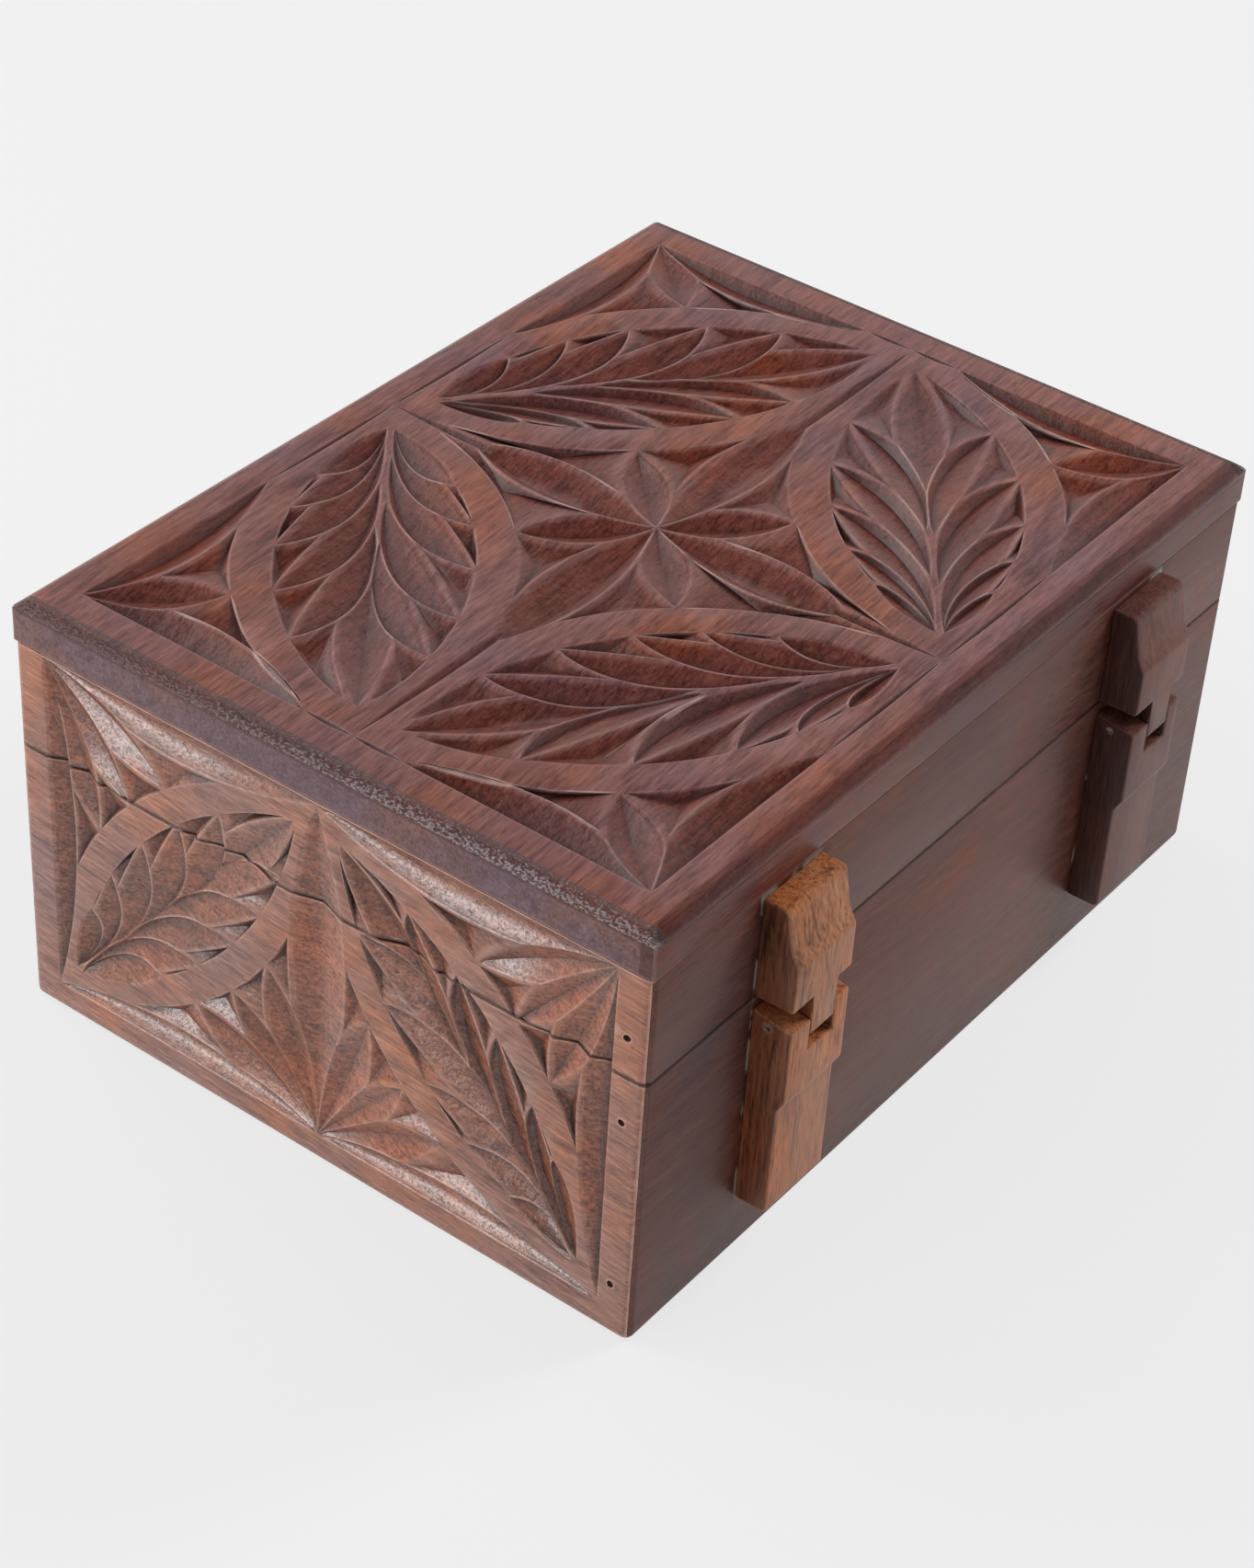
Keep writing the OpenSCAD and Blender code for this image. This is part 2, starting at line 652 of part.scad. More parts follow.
module lower_profile() {
    knuckle_end = pin_drop - knuckle_down;
    polygon([[0, lower_end], [leaf_thick - leaf_ease, lower_end],
        [leaf_thick, lower_end + leaf_ease], [leaf_thick, knuckle_end - knuckle_slope],
        [knuckle_thick, knuckle_end], [knuckle_thick, cheek_front], [0, cheek_back]]);
}

// A profile pushed out to a width across the hinge
module across(from, to) {
    translate([from, 0, 0])
        rotate([90, 0, 90])
            linear_extrude(height = to - from)
                children();
}

// Where a hinge sits: its middle, on the back of the box, at the pin's height
module at_hinge(s) {
    translate([s * (half_x - hinge_inset), half_y, lid_low - pin_drop])
        children();
}

finger_from = -finger_offset - finger_width / 2;
finger_to = -finger_offset + finger_width / 2;

module pin_bore() {
    translate([-hinge_width / 2 - past, pin_out, 0])
        rotate([0, 90, 0])
            cylinder(r = pin_diameter / 2 + pin_play, h = hinge_width + 2 * past);
}

module hinge_upper(s) {
    at_hinge(s)
        difference() {
            union() {
                across(-hinge_width / 2, hinge_width / 2)
                    upper_profile();
                across(finger_from, finger_to)
                    finger_profile();
            }
            pin_bore();
        }
}

module hinge_lower(s) {
    at_hinge(s)
        difference() {
            across(-hinge_width / 2, hinge_width / 2)
                lower_profile();
            translate([finger_from - finger_play, -past, notch_floor])
                cube([finger_width + 2 * finger_play, knuckle_thick + 2 * past, pin_drop - notch_floor]);
            pin_bore();
        }
}

module hinge_pin(s) {
    at_hinge(s)
        translate([-hinge_width / 2 + small, pin_out, 0])
            rotate([0, 90, 0])
                cylinder(d = pin_diameter, h = hinge_width - 2 * small);
}

module hinge_right_upper() {
    color("#9a6248")
        hinge_upper(1);
}

module hinge_right_lower() {
    color("#9a6248")
        hinge_lower(1);
}

module hinge_right_pin() {
    color("#b8b0a4")
        hinge_pin(1);
}

module hinge_left_upper() {
    color("#7a5448")
        hinge_upper(-1);
}

module hinge_left_lower() {
    color("#7a5448")
        hinge_lower(-1);
}

module hinge_left_pin() {
    color("#b8b0a4")
        hinge_pin(-1);
}

body_front();
body_back();
body_end_right();
body_end_left();
bottom_panel();
body_nails();
lid_top();
lid_front();
lid_back();
lid_end_right();
lid_end_left();
lid_nails();
hinge_right_upper();
hinge_right_lower();
hinge_right_pin();
hinge_left_upper();
hinge_left_lower();
hinge_left_pin();
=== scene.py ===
# %% [markdown]
# # A carved walnut jewelry box
# This lesson dresses a small wooden box: sunk leaves on its lid and ends, plain boards behind,
# and two wooden finger hinges. The packed model gives the exact boards and the joint. Here the
# carved boards are cut again with smooth gouge strokes, because a knife leaves curved hollows and
# rubbed ridges that flat facets can't show.

import json
import math
import random

import bmesh
import bpy
from mathutils import Matrix, Vector
from mathutils.geometry import intersect_line_line_2d

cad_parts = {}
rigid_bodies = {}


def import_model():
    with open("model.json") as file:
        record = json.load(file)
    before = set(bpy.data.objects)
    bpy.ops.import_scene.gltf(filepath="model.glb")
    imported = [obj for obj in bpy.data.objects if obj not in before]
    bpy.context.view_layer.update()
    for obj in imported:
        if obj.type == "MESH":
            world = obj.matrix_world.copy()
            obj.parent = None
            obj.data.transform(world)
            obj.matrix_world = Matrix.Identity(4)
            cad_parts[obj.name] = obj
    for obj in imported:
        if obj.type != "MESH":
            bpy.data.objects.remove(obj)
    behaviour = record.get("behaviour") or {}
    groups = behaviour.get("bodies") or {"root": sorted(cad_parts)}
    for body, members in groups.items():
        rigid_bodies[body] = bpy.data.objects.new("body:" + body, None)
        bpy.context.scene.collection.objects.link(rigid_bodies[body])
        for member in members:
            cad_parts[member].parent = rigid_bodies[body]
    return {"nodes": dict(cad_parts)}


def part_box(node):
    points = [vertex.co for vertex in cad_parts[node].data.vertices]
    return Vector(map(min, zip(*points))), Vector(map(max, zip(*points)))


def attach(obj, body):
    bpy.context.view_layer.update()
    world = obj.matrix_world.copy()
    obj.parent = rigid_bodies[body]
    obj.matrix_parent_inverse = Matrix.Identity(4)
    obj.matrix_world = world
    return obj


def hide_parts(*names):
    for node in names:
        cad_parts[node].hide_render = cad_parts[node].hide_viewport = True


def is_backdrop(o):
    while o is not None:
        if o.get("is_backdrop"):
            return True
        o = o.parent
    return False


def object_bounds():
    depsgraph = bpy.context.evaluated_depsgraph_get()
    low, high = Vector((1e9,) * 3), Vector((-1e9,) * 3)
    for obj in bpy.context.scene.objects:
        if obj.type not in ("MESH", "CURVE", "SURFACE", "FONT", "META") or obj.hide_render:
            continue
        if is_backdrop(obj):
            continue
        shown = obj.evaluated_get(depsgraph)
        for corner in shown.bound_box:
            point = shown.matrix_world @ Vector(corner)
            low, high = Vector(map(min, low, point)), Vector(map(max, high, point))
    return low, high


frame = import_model()
cad_low, cad_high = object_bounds()
scene = bpy.context.scene

# %% [markdown]
# ## Sizes
# Every shape is drawn in millimetres and scaled to metres once, at the end. The boards' sizes
# come from the packed nodes, so this file and the boards can't drift apart.

# %% Board sizes in millimetres
MM = 0.001


def corners(node):
    low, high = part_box(node)
    return low / MM, high / MM


half_x, half_y, box_height = corners("lid_top")[1]
lid_high = corners("lid_top")[0].z
lid_low = corners("lid_end_right")[0].z
wall = half_x - corners("lid_end_right")[0].x
wall_top = corners("body_end_right")[1].z
print(f"box {2 * half_x:.1f} x {2 * half_y:.1f} x {box_height:.1f} mm")
print(f"seam from {wall_top:.1f} to {lid_low:.1f}")

# %% [markdown]
# ## Camera
# The camera comes first, since every later choice is judged through it. Its place and lens were
# worked out from the box's corners in the photograph.

# %% Camera at the photograph's angle
camera_data = bpy.data.cameras.new("camera")
camera_data.lens = 82.57
camera_data.clip_start = 0.05
camera = bpy.data.objects.new("camera", camera_data)
scene.collection.objects.link(camera)
camera_right = Vector((-0.60637, 0.79346, 0.05227))
camera_up = Vector((-0.45995, -0.40361, 0.79091))
camera_back = Vector((0.64866, 0.45554, 0.60969))
camera.matrix_world = (
    Matrix.Translation((0.61077, 0.42524, 0.61478))
    @ Matrix((camera_right, camera_up, camera_back)).transposed().to_4x4()
)
scene.camera = camera
print("camera", tuple(round(v, 3) for v in camera.location))

# %% [markdown]
# ## Drawing with strokes
# Chip carving is drawn before it is cut. Each hollow lies between two edges, and each edge is a
# simple curve that bows out sideways. These helpers draw it in the flat plane of a panel.

# %% Points and curves on a panel
RIDGE = 0.5        # the wood left standing between one cut's edge and the next pocket
OVERRUN = 0.8      # the share of its last step by which a line is drawn on, to be trimmed later


def point(x, y):
    return Vector((x, y))


def aside(a, b):
    """The line from a to b, turned a quarter to its left."""
    return Vector((a.y - b.y, b.x - a.x))


def bowed(a, b, bow, lean=0.5, count=15):
    """A curve from a to b. Bow is its rise to the left, as a share of its length."""
    pull = a.lerp(b, lean) + aside(a, b) * 2 * bow
    shares = [i / (count - 1) for i in range(count)]
    return [a * (1 - t) ** 2 + pull * (2 * t * (1 - t)) + b * t**2 for t in shares]


def arc_rise(share, bow):
    """How far a circular arc of that bow stands off its chord of length 1."""
    radius = (0.25 + bow * bow) / (2 * bow)
    return math.sqrt(radius**2 - (share - 0.5) ** 2) - (radius - bow)


def rim(band, share, side):
    """A point on the edge of a leaf-shaped band, on its left for side 1 and its right for -1."""
    stem, tip, bow = band
    return stem.lerp(tip, share) + aside(stem, tip) * side * arc_rise(share, bow)


def rim_line(band, side, start, end, count=25):
    return [rim(band, start + (end - start) * i / (count - 1), side) for i in range(count)]


def shifted(line, gap):
    """A line moved to its own left, and drawn on at both ends."""
    moved = []
    for i, p in enumerate(line):
        before, after = line[max(i - 1, 0)], line[min(i + 1, len(line) - 1)]
        moved.append(p + aside(before, after).normalized() * gap)
    first = moved[0] + (moved[0] - moved[1]) * OVERRUN
    last = moved[-1] + (moved[-1] - moved[-2]) * OVERRUN
    return [first] + moved + [last]


def ridge(a, b, bow, lean=0.5):
    """The far side of the thin ridge that stands beside a cut's bowed edge."""
    return shifted(bowed(a, b, bow, lean), math.copysign(RIDGE, bow))


print("arc of bow 0.25 at its middle", round(arc_rise(0.5, 0.25), 3))

# %% [markdown]
# A pocket is what is left between several strokes. Its outline is found by trimming each line
# where it crosses the next, the way a draughtsman rubs out the ends that run too far.

# %% Trimming lines to an outline
TINY = 1e-9


def crossing(first, second):
    """The last place where two lines cross or nearly cross, along each of them and as a point."""
    best = None
    for i in reversed(range(len(first) - 1)):
        for j in range(len(second) - 1):
            hit = intersect_line_line_2d(first[i], first[i + 1], second[j], second[j + 1])
            if hit is not None:
                along = (hit - first[i]).length / max((first[i + 1] - first[i]).length, TINY)
                across = (hit - second[j]).length / max((second[j + 1] - second[j]).length, TINY)
                return i + along, j + across, hit
            miss = (first[i] - second[j]).length
            if best is None or miss < best[0]:
                best = (miss, i, j, (first[i] + second[j]) / 2)
    return best[1:]


def enclosed(*lines):
    """The closed outline that these lines make, each cut where it meets the next one."""
    cuts = [crossing(line, lines[(i + 1) % len(lines)]) for i, line in enumerate(lines)]
    outline = []
    for i, line in enumerate(lines):
        start, end, begin = cuts[i - 1][1], cuts[i][0], cuts[i - 1][2]
        outline.append(begin)
        step = 1 if end > start else -1
        places = [k for k in range(len(line)) if min(start, end) < k < max(start, end)]
        outline += [line[k] for k in places[::step]]
    return outline


def joined(first, second):
    """The first line up to where it crosses the second, and the second from there on."""
    i, j, hit = crossing(first, second)
    return first[: int(i) + 1] + [hit] + second[int(j) + 1 :]


def spaced(outline, gap=0.85):
    """A closed outline with its points at an even spacing."""
    closed = outline + outline[:1]
    lengths = [(q - p).length for p, q in zip(closed, closed[1:])]
    count = max(9, round(sum(lengths) / gap))
    result, run, k = [], 0.0, 0
    for i in range(count):
        goal = sum(lengths) * i / count
        while run + lengths[k] < goal:
            run += lengths[k]
            k += 1
        result.append(closed[k].lerp(closed[k + 1], (goal - run) / max(lengths[k], TINY)))
    return result


square = enclosed([point(-1, 0), point(9, 0)], [point(8, -1), point(8, 9)],
                  [point(9, 8), point(-1, 8)], [point(0, 9), point(0, -1)])
print("trimmed square", [tuple(p) for p in square])

# %% [markdown]
# ## Gouge strokes
# Each stroke is made as the solid that it takes away. It starts as a flat grid, and every point
# is moved to where the blade would pass. The edges roll over softly, as handled wood does, and the
# sheet is then drawn up into a closed solid, so that a boolean can take it out of the board.

# %% The solid that one cut takes away
EASE = 0.3                    # how far an edge rolls over, on each side of it
ABOVE = 1.2                   # how far a cutting solid stands above the wood
WELD = 0.0005                 # points that lie closer than this become one


def as_object(name, bm, collection):
    """Turn a drawn mesh into an object of a collection."""
    mesh = bpy.data.meshes.new(name)
    bm.to_mesh(mesh)
    bm.free()
    made = bpy.data.objects.new(name, mesh)
    collection.objects.link(made)
    return made


def new_cutters(name):
    made = bpy.data.collections.new(name)
    scene.collection.children.link(made)
    return made


def roll_over(depth, ease):
    """A depth with its edge rolled over: it leaves the surface gently and not at a corner."""
    if depth <= -ease:
        return 0.0
    if depth >= ease or ease <= 0:
        return max(depth, 0.0)
    return (depth + ease) ** 2 / (4 * ease)


def wall_depth(x, reach, deep, sweep, ease):
    """The depth at x from a cut's edge. A sweep over 1 makes it steep at first, then gentle."""
    slope = deep * sweep / reach
    raw = slope * x if x < 0 else deep * (1 - (1 - min(x / reach, 1)) ** sweep)
    return roll_over(raw, slope * ease)


def cutting_solid(columns, rows, place):
    """A grid whose point (i, j) goes to place(i, j), closed above into a solid."""
    bm = bmesh.new()
    bmesh.ops.create_grid(bm, x_segments=columns, y_segments=rows, size=1)
    for v in bm.verts:
        i = round((v.co.x + 1) / 2 * columns)
        j = round((v.co.y + 1) / 2 * rows)
        v.co = place(i, j)
    bmesh.ops.remove_doubles(bm, verts=bm.verts, dist=WELD)
    lifted = bmesh.ops.extrude_face_region(bm, geom=bm.faces[:], use_keep_orig=True)["geom"]
    for v in lifted:
        if isinstance(v, bmesh.types.BMVert):
            v.co.z = ABOVE
    bmesh.ops.remove_doubles(bm, verts=bm.verts, dist=WELD)
    bmesh.ops.dissolve_degenerate(bm, edges=bm.edges, dist=WELD)
    bmesh.ops.recalc_face_normals(bm, faces=bm.faces)
    return bm


print("roll over at the edge of a 1 mm wall:", round(roll_over(0.0, EASE), 3))

# %% [markdown]
# Two kinds of cut make the whole pattern: a gouge between two bowed edges, and a pocket that
# follows any outline and falls to one deep point.

# %% A gouge and a pocket
DEPTH_SPREAD = (0.94, 1.06)   # no two strokes of a hand go equally deep
FULLNESS = 0.7                # a stroke drops quickly at its ends and runs deep between them
dice = random.Random(7)


class Panel:
    """A carved face: its cuts, and where its plane lies on the box."""

    def __init__(self, name, matrix):
        self.cuts = new_cutters(name)
        self.matrix = matrix

    def add(self, bm):
        bmesh.ops.transform(bm, matrix=self.matrix, verts=bm.verts)
        as_object(self.cuts.name, bm, self.cuts)


def gouge(panel, a, b, left, right, depth, valley=0.5, lean=0.5, sweep=1.12, steps=20):
    """A stroke from a to b, with the bows of its edges and the place of its deepest line."""
    left_edge = bowed(a, b, left, lean, count=steps + 1)
    right_edge = bowed(a, b, right, lean, count=steps + 1)
    depth *= dice.uniform(*DEPTH_SPREAD)

    def place(i, j):
        p, q = left_edge[i], right_edge[i]
        width = (q - p).length
        if width < 1e-6:
            return (p.x, p.y, 0.0)
        across = (q - p) / width
        bottom = valley * width
        ease = min(EASE, 0.45 * min(bottom, width - bottom))
        deep = depth * math.sin(math.pi * i / steps) ** FULLNESS
        places = [-ease, -ease / 3, ease / 3, ease]
        places += [ease + (bottom - ease) * k for k in (0.35, 0.7, 1.0)]
        places += [width - ease - (width - ease - bottom) * k for k in (0.7, 0.35)]
        places += [width - ease, width - ease / 3, width + ease / 3, width + ease]
        x = places[j]
        inner, reach = (x, bottom) if j <= 6 else (width - x, width - bottom)
        return (*(p + across * x), -wall_depth(inner, reach, deep, sweep, ease))

    panel.add(cutting_solid(steps, 12, place))


def pocket(panel, outline, deepest, depth, sweep=1.15):
    """A pocket that falls steeply from its outline and then gently to its deepest point."""
    loop = spaced(outline)
    depth *= dice.uniform(*DEPTH_SPREAD)

    def place(i, j):
        p = loop[i % len(loop)]
        reach = (deepest - p).length
        ease = min(EASE, 0.2 * reach)
        places = [-ease, -ease / 3, ease / 3, ease]
        places += [ease + (reach - ease) * k for k in (0.28, 0.52, 1.0)]
        x = places[j]
        return (*(p + (deepest - p) / reach * x), -wall_depth(x, reach, depth, sweep, ease))

    panel.add(cutting_solid(len(loop), 6, place))


top_panel = Panel("top_cuts", Matrix.Translation((0, 0, box_height)))
end_plane = Matrix(((0, 0, 1, half_x), (1, 0, 0, 0), (0, 1, 0, 0), (0, 0, 0, 1)))
end_panel = Panel("end_cuts", end_plane)
print("panels:", top_panel.cuts.name, end_panel.cuts.name)

# %% [markdown]
# ## Drawing the leaves
# Every big leaf lies in a band. Its leaflets start on the middle line and run out to the band,
# each tucked under the one before. The shares say where their tips meet the band: they are read
# from the photograph, because spacing by eye is part of the look.

# %% Sizes of the carving, in millimetres or as shares of a length
GROUND, LEAFLET, PETAL, LINE = 3.1, 2.7, 2.8, 0.8      # depths
BAND_WIDTH, LINE_WIDTH = 7.6, 1.2
TOP_BOW, END_BOW = 0.245, 0.19
LEAFLET_REACH, LEAFLET_BOW, TIP_BOW = 0.40, 0.18, 0.11
LEAFLET_LEAN, LEAFLET_VALLEY = 0.62, 0.76
FIRST_OUTER_BOW, OUTER_BOW = 0.10, 0.02    # a leaflet's outer edge, where it isn't tucked under
top_w, top_h = half_x - 12.5, half_y - 11.0
end_w, end_low, end_high = half_y - 9.5, 8.5, lid_high - 0.5

leaf_shares = {
    "nw": ([0.16, 0.276, 0.41, 0.58, 0.754], [0.17, 0.29, 0.445, 0.604, 0.77]),
    "ne": ([0.15, 0.27, 0.40, 0.60, 0.80], [0.21, 0.35, 0.485, 0.64, 0.80]),
    "sw": ([0.207, 0.35, 0.496, 0.666, 0.82], [0.17, 0.30, 0.445, 0.615, 0.756]),
    "se": ([0.206, 0.33, 0.47, 0.626, 0.78], [0.22, 0.366, 0.52, 0.69, 0.82]),
    "front": ([0.20, 0.337, 0.50, 0.65, 0.79], [0.27, 0.41, 0.56, 0.70, 0.84]),
    "back": ([0.24, 0.365, 0.524, 0.67, 0.82], [0.18, 0.315, 0.46, 0.65, 0.81]),
}
print("leaflets on a side:", {len(side) for pair in leaf_shares.values() for side in pair})

# %% One big leaf


def between(panel, band, side, start, end, first, second, depth=GROUND * 0.72):
    """A pocket between a part of a band's rim and two ridges, deepest a little way in."""
    rim_part = rim_line(band, side, start, end)
    outline = enclosed(rim_part, first, second)
    middle = sum(outline, point(0, 0)) / len(outline)
    pairs = list(zip(outline, outline[1:] + outline[:1]))
    room = abs(sum(p.cross(q) for p, q in pairs)) / sum((q - p).length for p, q in pairs)
    on_rim = min(rim_part, key=lambda p: (p - middle).length)
    pocket(panel, outline, on_rim.lerp(middle, 0.8), min(depth, 1.25 * room))


def big_leaf(panel, band, shares, depth=LEAFLET, sweep=1.12):
    """The sunk leaf inside a band: leaflets on both sides, pockets at the rim, and the tip."""
    stem, tip, bow = band
    tip_root = stem.lerp(tip, 0.5)
    gouge(panel, tip_root, stem.lerp(tip, 0.992), TIP_BOW, -TIP_BOW, depth)
    for side, meets in ((1, shares[0]), (-1, shares[1])):
        off_middle = aside(stem, tip) * side * 0.008
        roots = [stem.lerp(tip, max(0.015, m - LEAFLET_REACH)) + off_middle for m in meets]
        ends = [rim(band, m, side) for m in meets]
        outer = [side * FIRST_OUTER_BOW] + [side * OUTER_BOW] * (len(meets) - 1)
        inner = -side * LEAFLET_BOW
        for k, (root, end) in enumerate(zip(roots, ends)):
            gouge(panel, root, root.lerp(end, 0.992), outer[k], inner, depth,
                  valley=LEAFLET_VALLEY, lean=LEAFLET_LEAN, sweep=sweep)
            if k + 1 < len(meets):
                next_ridge = ridge(roots[k + 1], ends[k + 1], outer[k + 1], LEAFLET_LEAN)
                stop = meets[k + 1]
            else:
                next_ridge = ridge(tip_root, tip, side * TIP_BOW)
                stop = 0.985
            between(panel, band, side, meets[k], stop, next_ridge,
                    ridge(root, end, inner, LEAFLET_LEAN))


def inside(band):
    """The leaf inside a band, drawn in from its rim by the band's width."""
    stem, tip, bow = band
    share = BAND_WIDTH / (tip - stem).length
    return stem.lerp(tip, share * 1.25), stem.lerp(tip, 1 - share * 1.25), bow - share * 0.85


def petal(panel, root, tip, bow):
    """A petal with both edges alike, a little shorter than its ridges."""
    gouge(panel, root, root.lerp(tip, 0.99), bow, -bow, PETAL)


print(f"bands are {BAND_WIDTH} mm wide, leaves {LEAFLET} mm deep")

# %% [markdown]
# ## The top
# The top is drawn a quarter at a time: one band and its leaf, a petal in the corner between two
# long hollows, and one diagonal petal of the flower with the ground on both sides of it. The four
# long petals on the middle lines come last, each drawn on by a thin line.

# %% Cuts of the top
CORNER_BOW, FLANK_BOW, FLOWER_BOW = 0.19, 0.146, 0.18
# long petals and the lines after them: how far they reach or where they start, bow and lean
LONG_PETAL, LONG_LINE = (66, 0.118, 0.55), (40, 0.022, 0.4)
CROSS_PETAL, CROSS_LINE = (58, 0.135, 0.60), (38, 0.034, 0.4)
centre = point(0, 0)


def middle_ridge(way, edge, side, long_petal, line):
    """The ridge beside a long petal and beside the thin line that goes on to the edge."""
    (reach, bow, lean), (start, line_bow, line_lean) = long_petal, line
    return joined(ridge(centre, way * reach, side * bow, lean),
                  ridge(way * start, way * edge, side * line_bow, line_lean))


def top_quarter(sx, sy, shares):
    """One quarter's cuts. Out turns a bow over where the drawing is mirrored."""
    def at(x, y):
        return point(sx * x, sy * y)

    out = sx * sy
    band = (at(0, top_h), at(top_w, 0), TOP_BOW)
    big_leaf(top_panel, inside(band), shares if out > 0 else shares[::-1])

    corner, petal_tip = at(top_w, top_h), rim(band, 0.624, out)
    flank_long, flank_side = at(top_w * 0.42, top_h), at(top_w, top_h * 0.17)
    petal(top_panel, corner, petal_tip, CORNER_BOW)
    gouge(top_panel, corner, flank_long, out * FLANK_BOW, 0, GROUND, valley=0.72, lean=0.42)
    gouge(top_panel, corner, flank_side, 0, -out * FLANK_BOW, GROUND, valley=0.28, lean=0.46)
    between(top_panel, band, out, 0.30, 0.63, ridge(corner, petal_tip, -out * CORNER_BOW),
            ridge(corner, flank_long, out * FLANK_BOW, 0.42))
    between(top_panel, band, out, 0.62, 0.93, ridge(corner, flank_side, -out * FLANK_BOW, 0.46),
            ridge(corner, petal_tip, out * CORNER_BOW))
    for start, end in ((at(0, top_h), flank_long), (at(top_w, 0), flank_side)):
        half = 0.5 * LINE_WIDTH / (end - start).length
        gouge(top_panel, start, end, half, -half, LINE)

    flower_tip = rim(band, 0.392, -out)
    petal(top_panel, centre, flower_tip, FLOWER_BOW)
    between(top_panel, band, -out, 0.0, 0.40, ridge(centre, flower_tip, out * FLOWER_BOW),
            middle_ridge(at(0, 1), top_h, -out, CROSS_PETAL, CROSS_LINE))
    between(top_panel, band, -out, 0.38, 1.0,
            middle_ridge(at(1, 0), top_w, out, LONG_PETAL, LONG_LINE),
            ridge(centre, flower_tip, -out * FLOWER_BOW))


top_quarter(-1, 1, leaf_shares["nw"])
top_quarter(1, 1, leaf_shares["ne"])
top_quarter(-1, -1, leaf_shares["sw"])
top_quarter(1, -1, leaf_shares["se"])
for way in (-1, 1):
    along, across = point(way, 0), point(0, way)
    for axis, (reach, bow, lean), off in ((along, LONG_PETAL, -0.2), (across, CROSS_PETAL, 0.2)):
        gouge(top_panel, centre, axis * reach, bow, -bow, PETAL, valley=0.5 + off * way, lean=lean)
    for axis, (start, bow, lean), edge in ((along, LONG_LINE, top_w), (across, CROSS_LINE, top_h)):
        gouge(top_panel, axis * start, axis * edge, bow, -bow, LINE * 1.4, lean=lean)

# %% [markdown]
# ## The ends
# An end is one drawing across two boards: the seam between lid and box runs straight through the
# leaves, so both boards are cut by the same strokes. Only one end shows in the photograph, and
# the far one is taken to be its twin.

# %% Cuts of an end
FOOT_BOW, CROWN_BOW, SIDE_BOW, MIDDLE_BOW = 0.092, 0.112, 0.082, 0.085
SIDE_LEAN, MIDDLE_LEAN = 0.45, 0.56


def fan(band, side, root, tips, turn, bow, first, last):
    """Petals from a corner to the rim, with pockets between them and beside the last ones."""
    ends = [rim(band, u, side) for u in tips]
    for tip in ends:
        petal(end_panel, root, tip, bow)
    ridges = [first]
    for tip in ends:
        ridges += [ridge(root, tip, -turn * bow), ridge(root, tip, turn * bow)]
    ridges.append(last)
    places = [max(tips[0] - 0.24, 0.04)] + tips + [min(tips[-1] + 0.24, 0.96)]
    for k in range(len(tips) + 1):
        between(end_panel, band, side, places[k], places[k + 1], ridges[2 * k + 1], ridges[2 * k])


def end_half(s, shares):
    """The cuts on one side of an end's tall petal: s is 1 for the half towards +Y."""
    band = (point(s * end_w, end_low), point(0, end_high), END_BOW)
    big_leaf(end_panel, inside(band), shares if s < 0 else shares[::-1], LEAFLET * 1.2, 1.4)
    foot, crown = point(0, end_low), point(0, end_high)
    toe, shoulder = point(s * end_w, end_low), point(s * end_w, end_high)
    gouge(end_panel, foot, toe, s * FOOT_BOW, 0, GROUND, valley=0.3, sweep=1.7)
    gouge(end_panel, shoulder, crown, s * CROWN_BOW, 0, GROUND, valley=0.7, sweep=1.7)
    gouge(end_panel, shoulder, toe, 0, -s * SIDE_BOW, GROUND, valley=0.5 - 0.2 * s, lean=SIDE_LEAN)
    fan(band, s, foot, [0.345, 0.465, 0.60], s, 0.14, ridge(foot, toe, s * FOOT_BOW),
        ridge(foot, crown, -s * MIDDLE_BOW, MIDDLE_LEAN))
    fan(band, -s, shoulder, [0.413, 0.536, 0.655], -s, 0.13,
        ridge(shoulder, toe, -s * SIDE_BOW, SIDE_LEAN), ridge(shoulder, crown, s * CROWN_BOW))


end_half(-1, leaf_shares["front"])
end_half(1, leaf_shares["back"])
gouge(end_panel, point(0, end_low), point(0, end_high), MIDDLE_BOW, -MIDDLE_BOW, PETAL,
      lean=MIDDLE_LEAN)

# %% [markdown]
# ## Walnut
# One piece of walnut differs from the next in colour, but the grain is built alike in all of them:
# slow dark figure, streaks, fine fibres and short open pores, all drawn out along the board. So
# the grain is one node group, and each board gives it its own colours and its own direction.
# Sockets can be reckoned with here: every sum adds its node to the tree.

# %% A short way to write node trees


